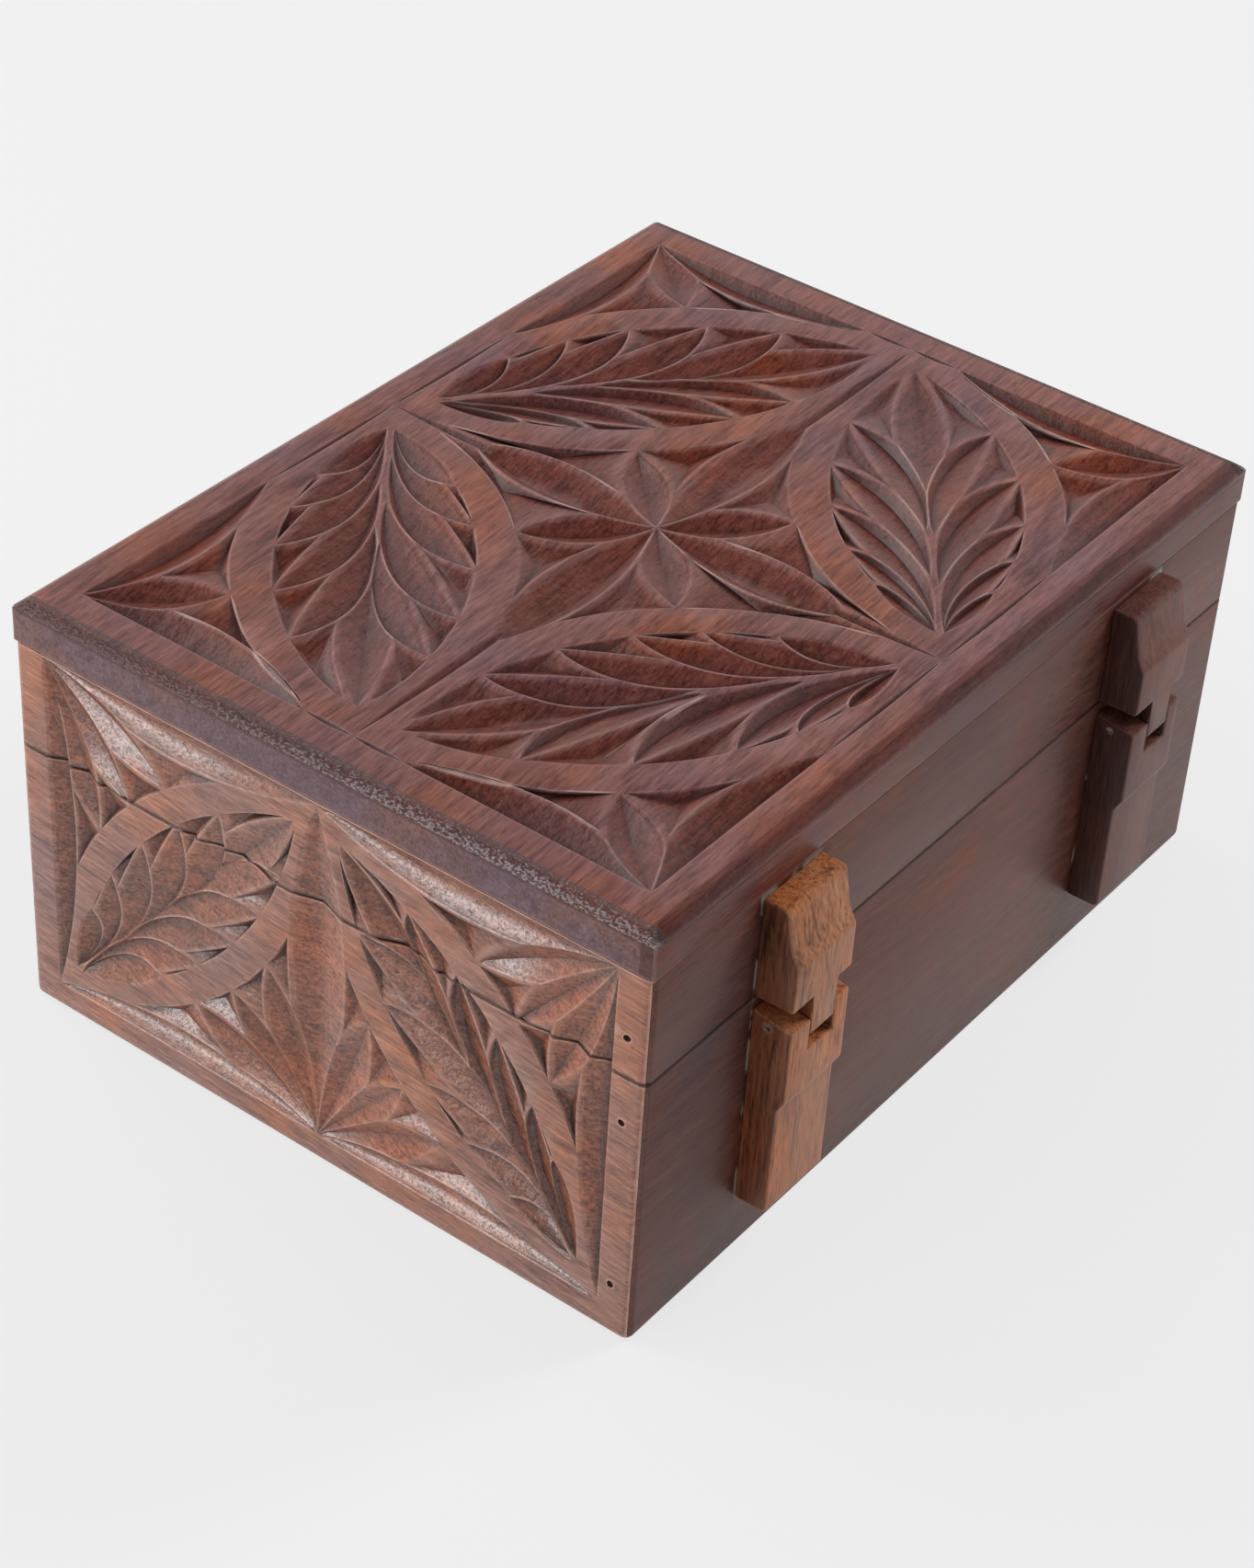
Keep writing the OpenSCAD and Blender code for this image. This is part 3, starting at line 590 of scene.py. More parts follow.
class Value:
    """A number, place or colour inside a node tree."""

    def __init__(self, recipe, socket):
        self.recipe, self.socket = recipe, socket

    def __add__(self, other):
        return self.recipe.math("ADD", self, other)

    def __sub__(self, other):
        return self.recipe.math("SUBTRACT", self, other)

    def __rsub__(self, other):
        return self.recipe.math("SUBTRACT", other, self)

    def __mul__(self, other):
        return self.recipe.math("MULTIPLY", self, other)

    def __abs__(self):
        return self.recipe.math("ABSOLUTE", self)

    def ramp(self, low, high, to_low=0.0, to_high=1.0):
        """A smooth step from one value to another."""
        inputs = dict(enumerate((self, low, high, to_low, to_high)))
        return self.recipe.one(0, "ShaderNodeMapRange", inputs, interpolation_type="SMOOTHSTEP")

    def noise(self, scale, detail=3.0, roughness=0.55, distortion=0.0):
        inputs = {"Vector": self, "Scale": scale, "Detail": detail, "Roughness": roughness,
                  "Distortion": distortion}
        return self.recipe.one("Fac", "ShaderNodeTexNoise", inputs)

    def mapped(self, **inputs):
        return self.recipe.one(0, "ShaderNodeMapping", {"Vector": self, **inputs})

    def axes(self):
        return self.recipe.all("ShaderNodeSeparateXYZ", {0: self})

    def mixed(self, share, other):
        """This colour with another mixed in, as far as the share says."""
        return self.recipe.mix(share, self, other)

    def tinted(self, share, factor):
        """This colour times another, as far as the share says."""
        return self.mixed(share, self.recipe.mix(1.0, self, factor, "MULTIPLY"))


class Recipe:
    """Writes a node tree: one() and all() give back the values that come out of a new node."""

    def __init__(self, tree):
        self.tree = tree

    def node(self, kind, inputs=None, **settings):
        made = self.tree.nodes.new(kind)
        for name, value in settings.items():
            setattr(made, name, value)
        for socket, value in (inputs or {}).items():
            self.feed(made.inputs[socket], value)
        return made

    def feed(self, target, value):
        if isinstance(value, Value):
            self.tree.links.new(value.socket, target)
        else:
            color = target.type == "RGBA" and len(value) == 3
            target.default_value = (*value, 1) if color else value

    def give(self, **results):
        for name, value in results.items():
            self.feed(self.results[name], value)

    def one(self, out, kind, inputs=None, **settings):
        return Value(self, self.node(kind, inputs, **settings).outputs[out])

    def all(self, kind, inputs=None, **settings):
        return {s.name: Value(self, s) for s in self.node(kind, inputs, **settings).outputs}

    def math(self, operation, a, b=0.0, clamp=False):
        return self.one(0, "ShaderNodeMath", {0: a, 1: b}, operation=operation, use_clamp=clamp)

    def mix(self, share, a, b, blend="MIX"):
        return self.one(2, "ShaderNodeMix", {0: share, 6: a, 7: b}, data_type="RGBA",
                        blend_type=blend)

    def group(self, tree, **inputs):
        return self.all("ShaderNodeGroup", inputs, node_tree=tree)


def shader_group(name, inputs, outputs):
    """An empty group. Each input has a default: a colour, a number, or None for a place."""
    tree = bpy.data.node_groups.new(name, "ShaderNodeTree")
    for socket, value in inputs.items():
        kind = "Vector" if value is None else "Color" if isinstance(value, tuple) else "Float"
        made = tree.interface.new_socket(socket, in_out="INPUT", socket_type="NodeSocket" + kind)
        if value is not None:
            made.default_value = (*value, 1) if kind == "Color" else value
    for socket in outputs:
        kind = "Color" if socket == "Color" else "Float"
        tree.interface.new_socket(socket, in_out="OUTPUT", socket_type="NodeSocket" + kind)
    recipe = Recipe(tree)
    recipe.results = recipe.node("NodeGroupOutput").inputs
    return recipe, recipe.all("NodeGroupInput")


def new_material(name):
    """A material, the recipe for its nodes, and its shader."""
    material = bpy.data.materials.new(name)
    material.use_nodes = True
    shader = material.node_tree.nodes["Principled BSDF"]
    return material, Recipe(material.node_tree), shader


print("a value can", [name for name in vars(Value) if name[0] != "_"])

# %% The grain
REDDER, BLUER = (1.22, 1.0, 0.72), (0.84, 0.95, 1.18)
recipe, given = shader_group(
    "walnut_grain",
    {"Vector": None, "Place": None, "Dark": (0.05, 0.02, 0.02), "Body": (0.12, 0.05, 0.04),
     "Light": (0.2, 0.1, 0.08), "Figure": 0.5},
    ("Color", "Fibre", "Pore"),
)
along = given["Vector"]
rings = recipe.math("PINGPONG", along.noise(0.045, 3, 0.5, 0.8) * 17.0, 1.0)
streaks = along.noise(0.3, 5, 0.65, 0.3)
fibres = along.noise(1.15, 4, 0.65)
cells = recipe.one("Distance", "ShaderNodeTexVoronoi", {"Vector": along, "Scale": 1.1})
pores = cells.ramp(0.24, 0.1) * along.noise(0.35, 2).ramp(0.42, 0.6)
dark_share = rings.ramp(0.6, 1.0) * 0.5 + streaks.ramp(0.52, 0.74)
dark_share = recipe.math("MULTIPLY", dark_share, given["Figure"], clamp=True)
color = given["Body"].mixed(dark_share, given["Dark"])
color = color.mixed(streaks.ramp(0.5, 0.28, 0, 0.5), given["Light"])
color = color.mixed(fibres.ramp(0.5, 0.66, 0, 0.55), given["Light"])
color = color.mixed(fibres.ramp(0.48, 0.34, 0, 0.6), given["Dark"])
color = color.mixed(pores * 0.75, given["Dark"])
drift = given["Place"].noise(26.0, 2, 0.5)
color = color.tinted(drift.ramp(0.5, 0.68), REDDER).tinted(drift.ramp(0.48, 0.3), BLUER)
recipe.give(Color=color, Fibre=fibres, Pore=pores)
walnut_grain = recipe.tree
print("nodes in the grain:", len(walnut_grain.nodes))

# %% [markdown]
# In the hollows the oil has stayed and the dust with it, so they are redder than the rubbed wood,
# and they are darkened as well, which is painted shade. They are finely speckled, because the
# blade has cut across the fibres: the dark specks are pores and the pale ones painted glints. How
# deep a point lies is read from its place: the top is a flat plane and so are the ends.

# %% The colour of the hollows: stain, painted shade and painted glints
DOT, GLINT = (0.42, 0.36, 0.36), (1.7, 1.5, 1.15)
recipe, given = shader_group(
    "hollow_stain_and_shade",
    {"Color": (0.1, 0.05, 0.04), "Tint": (0.7, 0.5, 0.4), "Depth": 0.0, "Place": None},
    ("Color", "Hollow", "Speckle"),
)
hollow = given["Depth"].ramp(0.1, 0.7) * given["Depth"].ramp(3.4, 3.0)
speckle = given["Place"].noise(1150.0, 3, 0.65)
# redder with the oil and dust that stayed, and darker as painted shade
color = given["Color"].tinted(hollow, given["Tint"])
color = color.tinted(speckle.ramp(0.5, 0.36) * hollow * 0.45, DOT)
# painted glints: pale specks in the hollows
color = color.tinted(speckle.ramp(0.55, 0.7) * hollow * 0.5, GLINT)
recipe.give(Color=color, Hollow=hollow, Speckle=speckle)
hollow_stain_and_shade = recipe.tree
print("nodes in the hollows' colour:", len(hollow_stain_and_shade.nodes))

# %% [markdown]
# The sharp ridges are rubbed pale and the sharp valleys hold a dark line of dust. Both are also
# painted light: the pale ridges a painted highlight, the dark valleys painted shade. Short rays
# find
# both: cast out of the wood they are stopped in a valley, and cast into it they come out at a
# ridge.
# The rays belong to each material, and this group turns what they say into colour.

# %% Rubbed ridges and dark valleys, with painted highlight and painted shade
recipe, given = shader_group(
    "handling_and_painted_light",
    {"Color": (0.1, 0.05, 0.04), "Rubbed": (0.3, 0.2, 0.18), "Dirt": (0.02, 0.01, 0.01),
     "Rub": 0.5, "Dust": 0.8, "Place": None, "Outwards": 1.0, "Inwards": 1.0},
    ("Color",),
)
patchy = given["Place"].noise(90.0, 3, 0.6).ramp(0.3, 0.6, 0.55, 1.0)
# pale ridges: rubbing and a painted highlight
edge = given["Inwards"].ramp(0.95, 0.78)
# dark valleys: dust and painted shade
valley = given["Outwards"].ramp(0.98, 0.7)
color = given["Color"].mixed(edge * (given["Rub"] * patchy), given["Rubbed"])
recipe.give(Color=color.mixed(valley * given["Dust"], given["Dirt"]))
handling_and_painted_light = recipe.tree
print("nodes in the handling:", len(handling_and_painted_light.nodes))

# %% [markdown]
# ## Making one wood
# A wood starts as bare grain, and then gets its marks one after another. Each changes the colour,
# the roughness or the height so far, and so a board's history can be read from top to bottom. The
# pattern is drawn out along the grain by scaling it less there, once it is turned a few degrees.

# %% Bare wood
GRAIN_ALONG = {"X": (110, 1000, 1000), "Y": (1000, 110, 1000), "Z": (1000, 1000, 110)}
woods = {}


def darker(color, share):
    return tuple(c * share for c in color)


class Wood:
    """A walnut material in the making."""

    def __init__(self, name, along, dark, body, light, shift, tilt=(0, 0, 0), figure=0.6,
                 roughness=(0.36, 0.5)):
        woods[name], self.recipe, self.shader = new_material(name)
        self.dark, self.light = dark, light
        coordinates = self.recipe.all("ShaderNodeTexCoord")
        self.place = coordinates["Object"]
        self.axes, self.facing = self.place.axes(), coordinates["Normal"].axes()
        turned = self.place.mapped(Rotation=tilt)
        stretched = turned.mapped(Location=shift, Scale=GRAIN_ALONG[along])
        grain = self.recipe.group(walnut_grain, Vector=stretched, Place=self.place, Dark=dark,
                                  Body=body, Light=light, Figure=figure)
        self.color = grain["Color"]
        self.rough = grain["Fibre"].ramp(0.3, 0.7, *roughness)
        self.height = grain["Fibre"] * 0.07 - grain["Pore"] * 0.05


def tint_faces_along(wood, axis, tint):
    """Tint the faces that look along an axis; on the top board these are its end grain."""
    wood.color = wood.color.tinted(abs(wood.facing[axis]).ramp(0.8, 0.95), tint)


def hollows(wood, axis, plane, tint, rough_cut=0.14):
    """The sunk parts of a carved plane, which lies at some millimetres along an axis."""
    depth = plane - abs(wood.axes[axis]) * 1000.0
    # the hollows' tint is partly oil stain and partly painted shade
    sunk = wood.recipe.group(hollow_stain_and_shade, Color=wood.color, Tint=tint, Depth=depth,
                             Place=wood.place)
    wood.color, wood.speckle = sunk["Color"], sunk["Speckle"]
    wood.rough = wood.rough * sunk["Hollow"].ramp(0, 1, 1.0, 0.75)
    chatter = wood.place.noise(260.0, 2, 0.5) * 0.25 + wood.speckle * rough_cut
    wood.height = wood.height + chatter * sunk["Hollow"]


print("grain can run along", list(GRAIN_ALONG))

# %% [markdown]
# Some marks sit in one place on the box. The chamfers over the ends are sawn across the fibres,
# dark and rough, and carry painted glints. Beside the hinges the back has a ragged dark smear and
# a pale bead. Beside the nails there is a pale stain, and tiny pits whose darkness is painted
# shade.

# %% Sawn chamfers
CHAMFER_WIDTH, CHAMFER_FOOT = 4.0, 2.4
LONG_CHAMFER, SAWN, PAINTED_GLINT = (0.62, 0.47, 0.43), (0.55, 0.5, 0.55), (0.5, 0.42, 0.44)


def sawn_chamfers(wood):
    x, y, z = wood.axes.values()
    edge, foot = half_x - CHAMFER_WIDTH, box_height - CHAMFER_FOOT
    strip = abs(x).ramp((edge - 0.2) * MM, edge * MM) * z.ramp((foot - 0.2) * MM, foot * MM)
    # the long chamfer at the back is made darker
    long_side = y.ramp((half_y - 4.4) * MM, (half_y - 3.9) * MM)
    color = wood.color.tinted(long_side, LONG_CHAMFER).tinted(strip, SAWN)
    wood.rough = wood.rough * strip.ramp(0, 1, 1.0, 0.55)
    crumbs = wood.place.mapped(Scale=(2100, 1000, 2100)).noise(1.0, 4, 0.7)
    fewer_outside = abs(x).ramp((edge + 0.4) * MM, (edge + 3.3) * MM, 0.13, 0.0)
    # painted glints: pale specks on the sawn chamfers, more of them towards the back
    painted_glints = (crumbs - fewer_outside).ramp(0.46, 0.56) * strip
    wood.color = color.mixed(painted_glints * y.ramp(-0.08, 0.06, 0.15, 0.6), PAINTED_GLINT)
    wood.height = wood.height + crumbs * (strip * 0.8)


print(f"chamfers from {half_x - CHAMFER_WIDTH:.1f} mm outwards")

# %% Beside the hinges, a darker strip near the foot, patches and scratches
SMEAR, BEAD, LOW_STRIP = (0.52, 0.36, 0.3), (0.34, 0.28, 0.23), (0.66, 0.6, 0.64)
WARM_PATCH, COOL_PATCH = (1.16, 0.96, 0.9), (0.92, 0.93, 1.02)
leaf_low, leaf_high = corners("hinge_right_lower")
hinge_middle, hinge_half = (leaf_low.x + leaf_high.x) / 2, (leaf_high.x - leaf_low.x) / 2
hinge_foot, hinge_head = leaf_low.z, corners("hinge_right_upper")[1].z


def smear_beside_hinges(wood):
    """A dark smear and a pale bead beside the hinges, on the back only."""
    x, y, z = wood.axes.values()
    beside = abs(abs(x) - hinge_middle * MM) * 1000.0 - hinge_half
    above_foot = z.ramp((hinge_foot - 3) * MM, hinge_foot * MM)
    below_head = z.ramp((hinge_head + 2) * MM, hinge_head * MM)
    behind = y.ramp(0.09, 0.092) * (above_foot * below_head)
    ragged = beside + wood.place.noise(130.0, 3, 0.6) * -7.0
    bead = beside.ramp(0.9, 0.4) * wood.place.noise(85.0, 3, 0.6).ramp(0.5, 0.62)
    wood.color = wood.color.tinted(ragged.ramp(0.5, -3.0, 0, 0.75) * behind, SMEAR)
    wood.color = wood.color.mixed(bead * behind, BEAD)


def foot_strip_patches_and_scratches(wood):
    """A darker strip near the foot, warm and cool patches, and slanting pale scratches."""
    low = wood.axes["Z"] + wood.place.noise(60.0, 3, 0.6) * 0.02
    patches = wood.place.noise(17.0, 4, 0.6, 0.6)
    color = wood.color.tinted(low.ramp(0.024, 0.012, 0, 0.6), LOW_STRIP)
    color = color.tinted(patches.ramp(0.5, 0.62), WARM_PATCH)
    color = color.tinted(patches.ramp(0.48, 0.36), COOL_PATCH)
    slanted = wood.place.mapped(Rotation=(0, math.radians(-38), 0), Scale=(38, 100, 2100))
    scratches = slanted.noise(1.0, 2, 0.5).ramp(0.6, 0.7)
    here_and_there = wood.place.noise(28.0, 2, 0.5).ramp(0.46, 0.6)
    wood.color = color.mixed(scratches * here_and_there * 0.4, wood.light)


print(f"hinges at X {hinge_middle:.1f}, from {hinge_foot:.1f} to {hinge_head:.1f} mm high")

# %% Marks beside the nails
# The tiny near-black dots are painted shade of small pits.
STAIN, PIT_SHADE = (0.36, 0.2, 0.12), (0.03, 0.015, 0.01)
# where each mark lies on an end, its radius and its colour
nail_marks = [((86.8, 93.0), 1.9, STAIN), ((89.0, 80.0), 0.5, PIT_SHADE), ((93.6, 16.0), 0.4, PIT_SHADE),
              ((91.6, 90.4), 0.6, PIT_SHADE)]


def round_marks(wood, marks):
    flat = wood.recipe.one(0, "ShaderNodeVectorMath", {0: wood.place, 1: (0, 1000, 1000)},
                           operation="MULTIPLY")
    ragged = wood.place.noise(500.0, 2, 0.5) * 0.9
    for (y, z), radius, mark_color in marks:
        away = wood.recipe.one("Value", "ShaderNodeVectorMath", {0: flat, 1: (0, y, z)},
                               operation="DISTANCE")
        share = (away + ragged).ramp(radius + 0.5, radius, 0, 0.75)
        wood.color = wood.color.mixed(share, mark_color)


print("marks beside the nails:", len(nail_marks))

# %% [markdown]
# Handling comes after all of these, because hands and dust reach every surface; its pale ridges
# and dark valleys are partly painted highlight and painted shade. The seam comes last: its dark
# line lies over the rubbed edges, but only on upright faces, since the walls' upper faces are
# clean when the lid is open.

# %% Wear with painted highlight and painted shade, the seam and the lacquer
VALLEY_RAYS, RIDGE_RAYS = 2.6, 0.75        # how far the rays reach, in millimetres
seam_height = (wall_top + lid_low) / 2


def wear_and_painted_light(wood, rubbed_and_highlight=None, rub_and_highlight=0.5, dust_and_shade=0.8):
    # Pale ridges and dark valleys: rubbing and dust, and a painted highlight and painted shade.
    rays = {}
    for side, reach, inwards in (("Outwards", VALLEY_RAYS, False), ("Inwards", RIDGE_RAYS, True)):
        rays[side] = wood.recipe.one("AO", "ShaderNodeAmbientOcclusion", {"Distance": reach * MM},
                                     samples=3, only_local=True, inside=inwards)
    worn = wood.recipe.group(handling_and_painted_light, Color=wood.color, Rubbed=rubbed_and_highlight or wood.light, Rub=rub_and_highlight,
                             Dirt=darker(wood.dark, 0.6), Dust=dust_and_shade, Place=wood.place, **rays)
    wood.color = worn["Color"]


def seam_line(wood):
    off_seam = abs(wood.axes["Z"] * 1000.0 - seam_height) - wood.place.noise(300.0, 3, 0.6)
    upright = abs(wood.facing["Z"]).ramp(0.6, 0.9, 0.9, 0.0)
    wood.color = wood.color.mixed(off_seam.ramp(0.4, 0.0) * upright, darker(wood.dark, 0.3))


def finish(wood, shine=0.45, coat=0.0):
    """Wire the shader. A coat of lacquer is broken up by the speckle."""
    recipe, inputs = wood.recipe, wood.shader.inputs
    bump = {"Height": wood.height, "Distance": MM, "Strength": 1.0}
    recipe.feed(inputs["Base Color"], wood.color)
    recipe.feed(inputs["Roughness"], wood.rough)
    recipe.feed(inputs["Normal"], recipe.one(0, "ShaderNodeBump", bump))
    inputs["Specular IOR Level"].default_value = shine
    if coat:
        recipe.feed(inputs["Coat Weight"], wood.speckle.ramp(0.4, 0.56, 0.3, 1.6) * coat)
    inputs["Coat Roughness"].default_value = 0.22


print(f"seam at {seam_height:.1f} mm")

# %% [markdown]
# The top is the reddest wood and the ends the palest. The front and back are dull and dark, and
# the inside was never oiled. The hinges come from different offcuts, one light and one dark.

# %% The six woods
wood = Wood("carved_top", "X", dark=(0.062, 0.02, 0.018), body=(0.198, 0.077, 0.067),
            light=(0.315, 0.147, 0.127), shift=(0, 31, 0), tilt=(0, 0, math.radians(-3)))
tint_faces_along(wood, "X", (0.56, 0.78, 1.04))
hollows(wood, "Z", box_height, (0.72, 0.49, 0.41), rough_cut=0.05)
sawn_chamfers(wood)
wear_and_painted_light(wood, rubbed_and_highlight=(0.5, 0.33, 0.3), rub_and_highlight=0.85)
finish(wood, shine=0.36)

wood = Wood("carved_end", "Y", dark=(0.075, 0.027, 0.02), body=(0.225, 0.093, 0.064),
            light=(0.4, 0.195, 0.13), shift=(0, 7, 0), tilt=(math.radians(5), 0, 0),
            figure=0.8, roughness=(0.32, 0.44))
hollows(wood, "X", half_x, (0.86, 0.66, 0.5))
round_marks(wood, nail_marks)
wear_and_painted_light(wood, rubbed_and_highlight=(0.5, 0.3, 0.24), rub_and_highlight=0.8, dust_and_shade=0.95)
seam_line(wood)
finish(wood, coat=0.42)

wood = Wood("plain_walnut", "X", dark=(0.055, 0.02, 0.014), body=(0.12, 0.043, 0.031),
            light=(0.185, 0.08, 0.058), shift=(0, 57, 0), tilt=(0, math.radians(3), 0),
            figure=0.45)
smear_beside_hinges(wood)
foot_strip_patches_and_scratches(wood)
wear_and_painted_light(wood, rub_and_highlight=0.4)
seam_line(wood)
finish(wood, shine=0.3)

wood = Wood("inside_walnut", "X", dark=(0.06, 0.028, 0.02), body=(0.14, 0.07, 0.05),
            light=(0.24, 0.13, 0.09), shift=(0, 83, 0), roughness=(0.55, 0.7))
wear_and_painted_light(wood, rub_and_highlight=0.2)
finish(wood)

# for each hinge: its side, dark, body and light colours, the grain's shift, the figure, and the
# tint of the faces that look along X
for side, dark, body, light, shift, figure, ends in (
    ("right", (0.05, 0.014, 0.008), (0.42, 0.15, 0.06), (0.62, 0.29, 0.14), 13, 0.9,
     (0.5, 0.42, 0.4)),
    ("left", (0.05, 0.018, 0.014), (0.13, 0.048, 0.036), (0.21, 0.095, 0.072), 41, 0.6,
     (0.45, 0.4, 0.4)),
):
    wood = Wood("hinge_wood_" + side, "Z", dark, body, light, (shift, 0, 0), figure=figure)
    tint_faces_along(wood, "X", ends)
    wear_and_painted_light(wood)
    finish(wood, shine=0.35)
print("woods made:", list(woods))

# %% [markdown]
# ## The boards
# A carved board starts as a plain block with its edges eased, the way it comes off the bench, and
# then every stroke is taken out of it at once. The manifold solver does a hundred overlapping
# cuts in a moment, as long as every one of them is a closed solid.

# %% Helpers for blocks, edges and cuts


def block(low, high):
    bm = bmesh.new()
    bmesh.ops.create_cube(bm, size=1)
    bmesh.ops.scale(bm, vec=Vector(high) - Vector(low), verts=bm.verts)
    bmesh.ops.translate(bm, vec=(Vector(high) + Vector(low)) / 2, verts=bm.verts)
    return bm


def bevel(bm, edges, radius, segments, clamp):
    bmesh.ops.bevel(bm, geom=edges, offset=radius, segments=segments, profile=0.5, affect="EDGES",
                    material=-1, clamp_overlap=clamp)


def ease_edges(bm, radius, segments, test):
    """Round the edges whose middle and direction pass a test."""
    chosen = [e for e in bm.edges
              if test((e.verts[0].co + e.verts[1].co) / 2,
                      (e.verts[1].co - e.verts[0].co).normalized())]
    bevel(bm, chosen, radius, segments, True)


def upright(way):
    return abs(way.z) > 0.9


def level(way):
    return abs(way.z) < 0.1


def sliced(bm, step=11.0):
    """Cut a block into a mesh of small faces, so that no face ends up with hundreds of corners."""
    for axis in range(3):
        ends = [v.co[axis] for v in bm.verts]
        count = round((max(ends) - min(ends)) / step)
        for k in range(1, count):
            at, way = Vector(), Vector()
            at[axis], way[axis] = min(ends) + (max(ends) - min(ends)) * k / count, 1
            bmesh.ops.bisect_plane(bm, geom=bm.verts[:] + bm.edges[:] + bm.faces[:],
                                   plane_co=at, plane_no=way)
    return bm


def few_corners(bm):
    """Split the faces with many corners, which would shade badly."""
    bmesh.ops.triangulate(bm, faces=[f for f in bm.faces if len(f.verts) > 4])
    return bm


def carved(bm, *cut_collections):
    """The mesh of a block after every solid in these collections is taken out of it."""
    blank = as_object("blank", bm, scene.collection)
    for cuts in cut_collections:
        modifier = blank.modifiers.new("cut", "BOOLEAN")
        modifier.operation, modifier.solver = "DIFFERENCE", "MANIFOLD"
        modifier.operand_type, modifier.collection = "COLLECTION", cuts
    graph = bpy.context.evaluated_depsgraph_get()
    result = bmesh.new()
    result.from_mesh(bpy.data.meshes.new_from_object(blank.evaluated_get(graph)))
    bpy.data.objects.remove(blank)
    return few_corners(result)


def piece(name, bm, body, slot, replaces):
    """Make an object of a bmesh drawn in millimetres, and hang it on its body."""
    bmesh.ops.scale(bm, vec=(MM, MM, MM), verts=bm.verts)
    made = as_object(name, bm, scene.collection)
    made.data.shade_smooth()
    made.data.set_sharp_from_angle(angle=math.radians(38))
    made.data.materials.append(woods[slot])
    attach(made, body)
    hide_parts(*replaces)
    print(f"{name}: {sum(len(p.vertices) - 2 for p in made.data.polygons)} triangles")


# %% The lid's top board
CHAMFER_DROP = 2.2
blank = block((-half_x, -half_y, lid_high), (half_x, half_y, box_height - CHAMFER_DROP))
upper = max(blank.faces, key=lambda f: f.calc_center_median().z)
bmesh.ops.inset_individual(blank, faces=[upper], thickness=CHAMFER_WIDTH, depth=CHAMFER_DROP)
ease_edges(blank, 0.5, 3, lambda middle, way: True)
piece("lid_top_carved", carved(sliced(blank), top_panel.cuts), "lid", "carved_top", ["lid_top"])

# %% [markdown]
# The end boards take more than their carving. The nails near the back edge leave holes, while
# those at the front are sunk deeper and filled over. Inside there is a rebate for the bottom. And
# the foot of the box is rounded by wear: one tray with a rounded hollow trims all four boards.

# %% Nail holes, the rebate and the worn foot
NAIL_RADIUS, NAIL_INSET = 0.95, 0.8
CORNER_ROUND, RIM_ROUND, TRAY_WALL = 2.5, 2.3, 6
holes, rounded_box, worn_rim = map(new_cutters, ("nail_holes", "worn_box", "worn_rim"))
body_nails, lid_nails = corners("body_nails"), corners("lid_nails")
nail_y = body_nails[1].y - NAIL_INSET
nail_heights = (body_nails[0].z + NAIL_INSET, body_nails[1].z - NAIL_INSET,
                (lid_nails[0].z + lid_nails[1].z) / 2)


def nail_hole(y, z):
    """A hole a little out of round, as a driven nail leaves it."""
    bm = bmesh.new()
    bmesh.ops.create_cone(bm, cap_ends=True, segments=18, radius1=NAIL_RADIUS * 0.9,
                          radius2=NAIL_RADIUS, depth=5)
    bmesh.ops.scale(bm, vec=(dice.uniform(0.9, 1.25), 1, 1), verts=bm.verts)
    turn = Matrix.Rotation(math.pi / 2, 4, "Y") @ Matrix.Rotation(dice.uniform(0, 3), 4, "Z")
    into_board = Matrix.Translation((half_x - 1.2, y, z))
    bmesh.ops.transform(bm, matrix=into_board @ turn, verts=bm.verts)
    as_object("nail_hole", bm, holes)


panel_high = corners("bottom_panel")[1]
rebate = block((half_x - wall - 2, -half_y - 1, -2), (panel_high.x, half_y + 1, panel_high.z))
as_object("rebate", rebate, holes)
for z in nail_heights:
    nail_hole(nail_y, z)

rounded = block((-half_x, -half_y, 0), (half_x, half_y, wall_top + 20))
ease_edges(rounded, CORNER_ROUND, 6, lambda m, way: upright(way))
ease_edges(rounded, RIM_ROUND, 6, lambda m, way: level(way) and m.z < 0.1)
as_object("worn_box", rounded, rounded_box)
tray = block((-half_x - TRAY_WALL, -half_y - TRAY_WALL, -TRAY_WALL),
             (half_x + TRAY_WALL, half_y + TRAY_WALL, wall_top - 8))
as_object("tray", carved(tray, rounded_box), worn_rim)
print("nail holes at heights", [round(z, 1) for z in nail_heights])

# %% The end boards
FOOT_ROUND, EDGE, SEAM_WEAR = 2.0, 0.25, 0.45


def end_board(low, high):
    """A right hand end board: mitred, with round upright corners, eased edges and its carving."""
    top = high - SEAM_WEAR if high < lid_low else high
    blank = block((half_x - wall, -half_y, low), (half_x, half_y, top))
    ease_edges(blank, CORNER_ROUND, 6, lambda m, way: upright(way) and m.x > half_x - 1)
    for side in (-1, 1):
        cut = bmesh.ops.bisect_plane(blank, geom=blank.verts[:] + blank.edges[:] + blank.faces[:],
                                     plane_co=(half_x, side * half_y, 0), plane_no=(-1, side, 0),
                                     clear_outer=True)
        rim_edges = [e for e in cut["geom_cut"] if isinstance(e, bmesh.types.BMEdge)]
        bmesh.ops.holes_fill(blank, edges=rim_edges)
    ease_edges(blank, FOOT_ROUND if low < 1 else EDGE, 4, lambda m, way: level(way)
               and m.x > half_x - wall + 1 and m.z < low + 0.1 and abs(m.y) < half_y - 3)
    return carved(sliced(blank), end_panel.cuts, holes, worn_rim)


def mirrored(bm):
    """The twin of a board on the other side of the box."""
    twin = bm.copy()
    bmesh.ops.scale(twin, vec=(-1, 1, 1), verts=twin.verts)
    bmesh.ops.recalc_face_normals(twin, faces=twin.faces)
    return twin


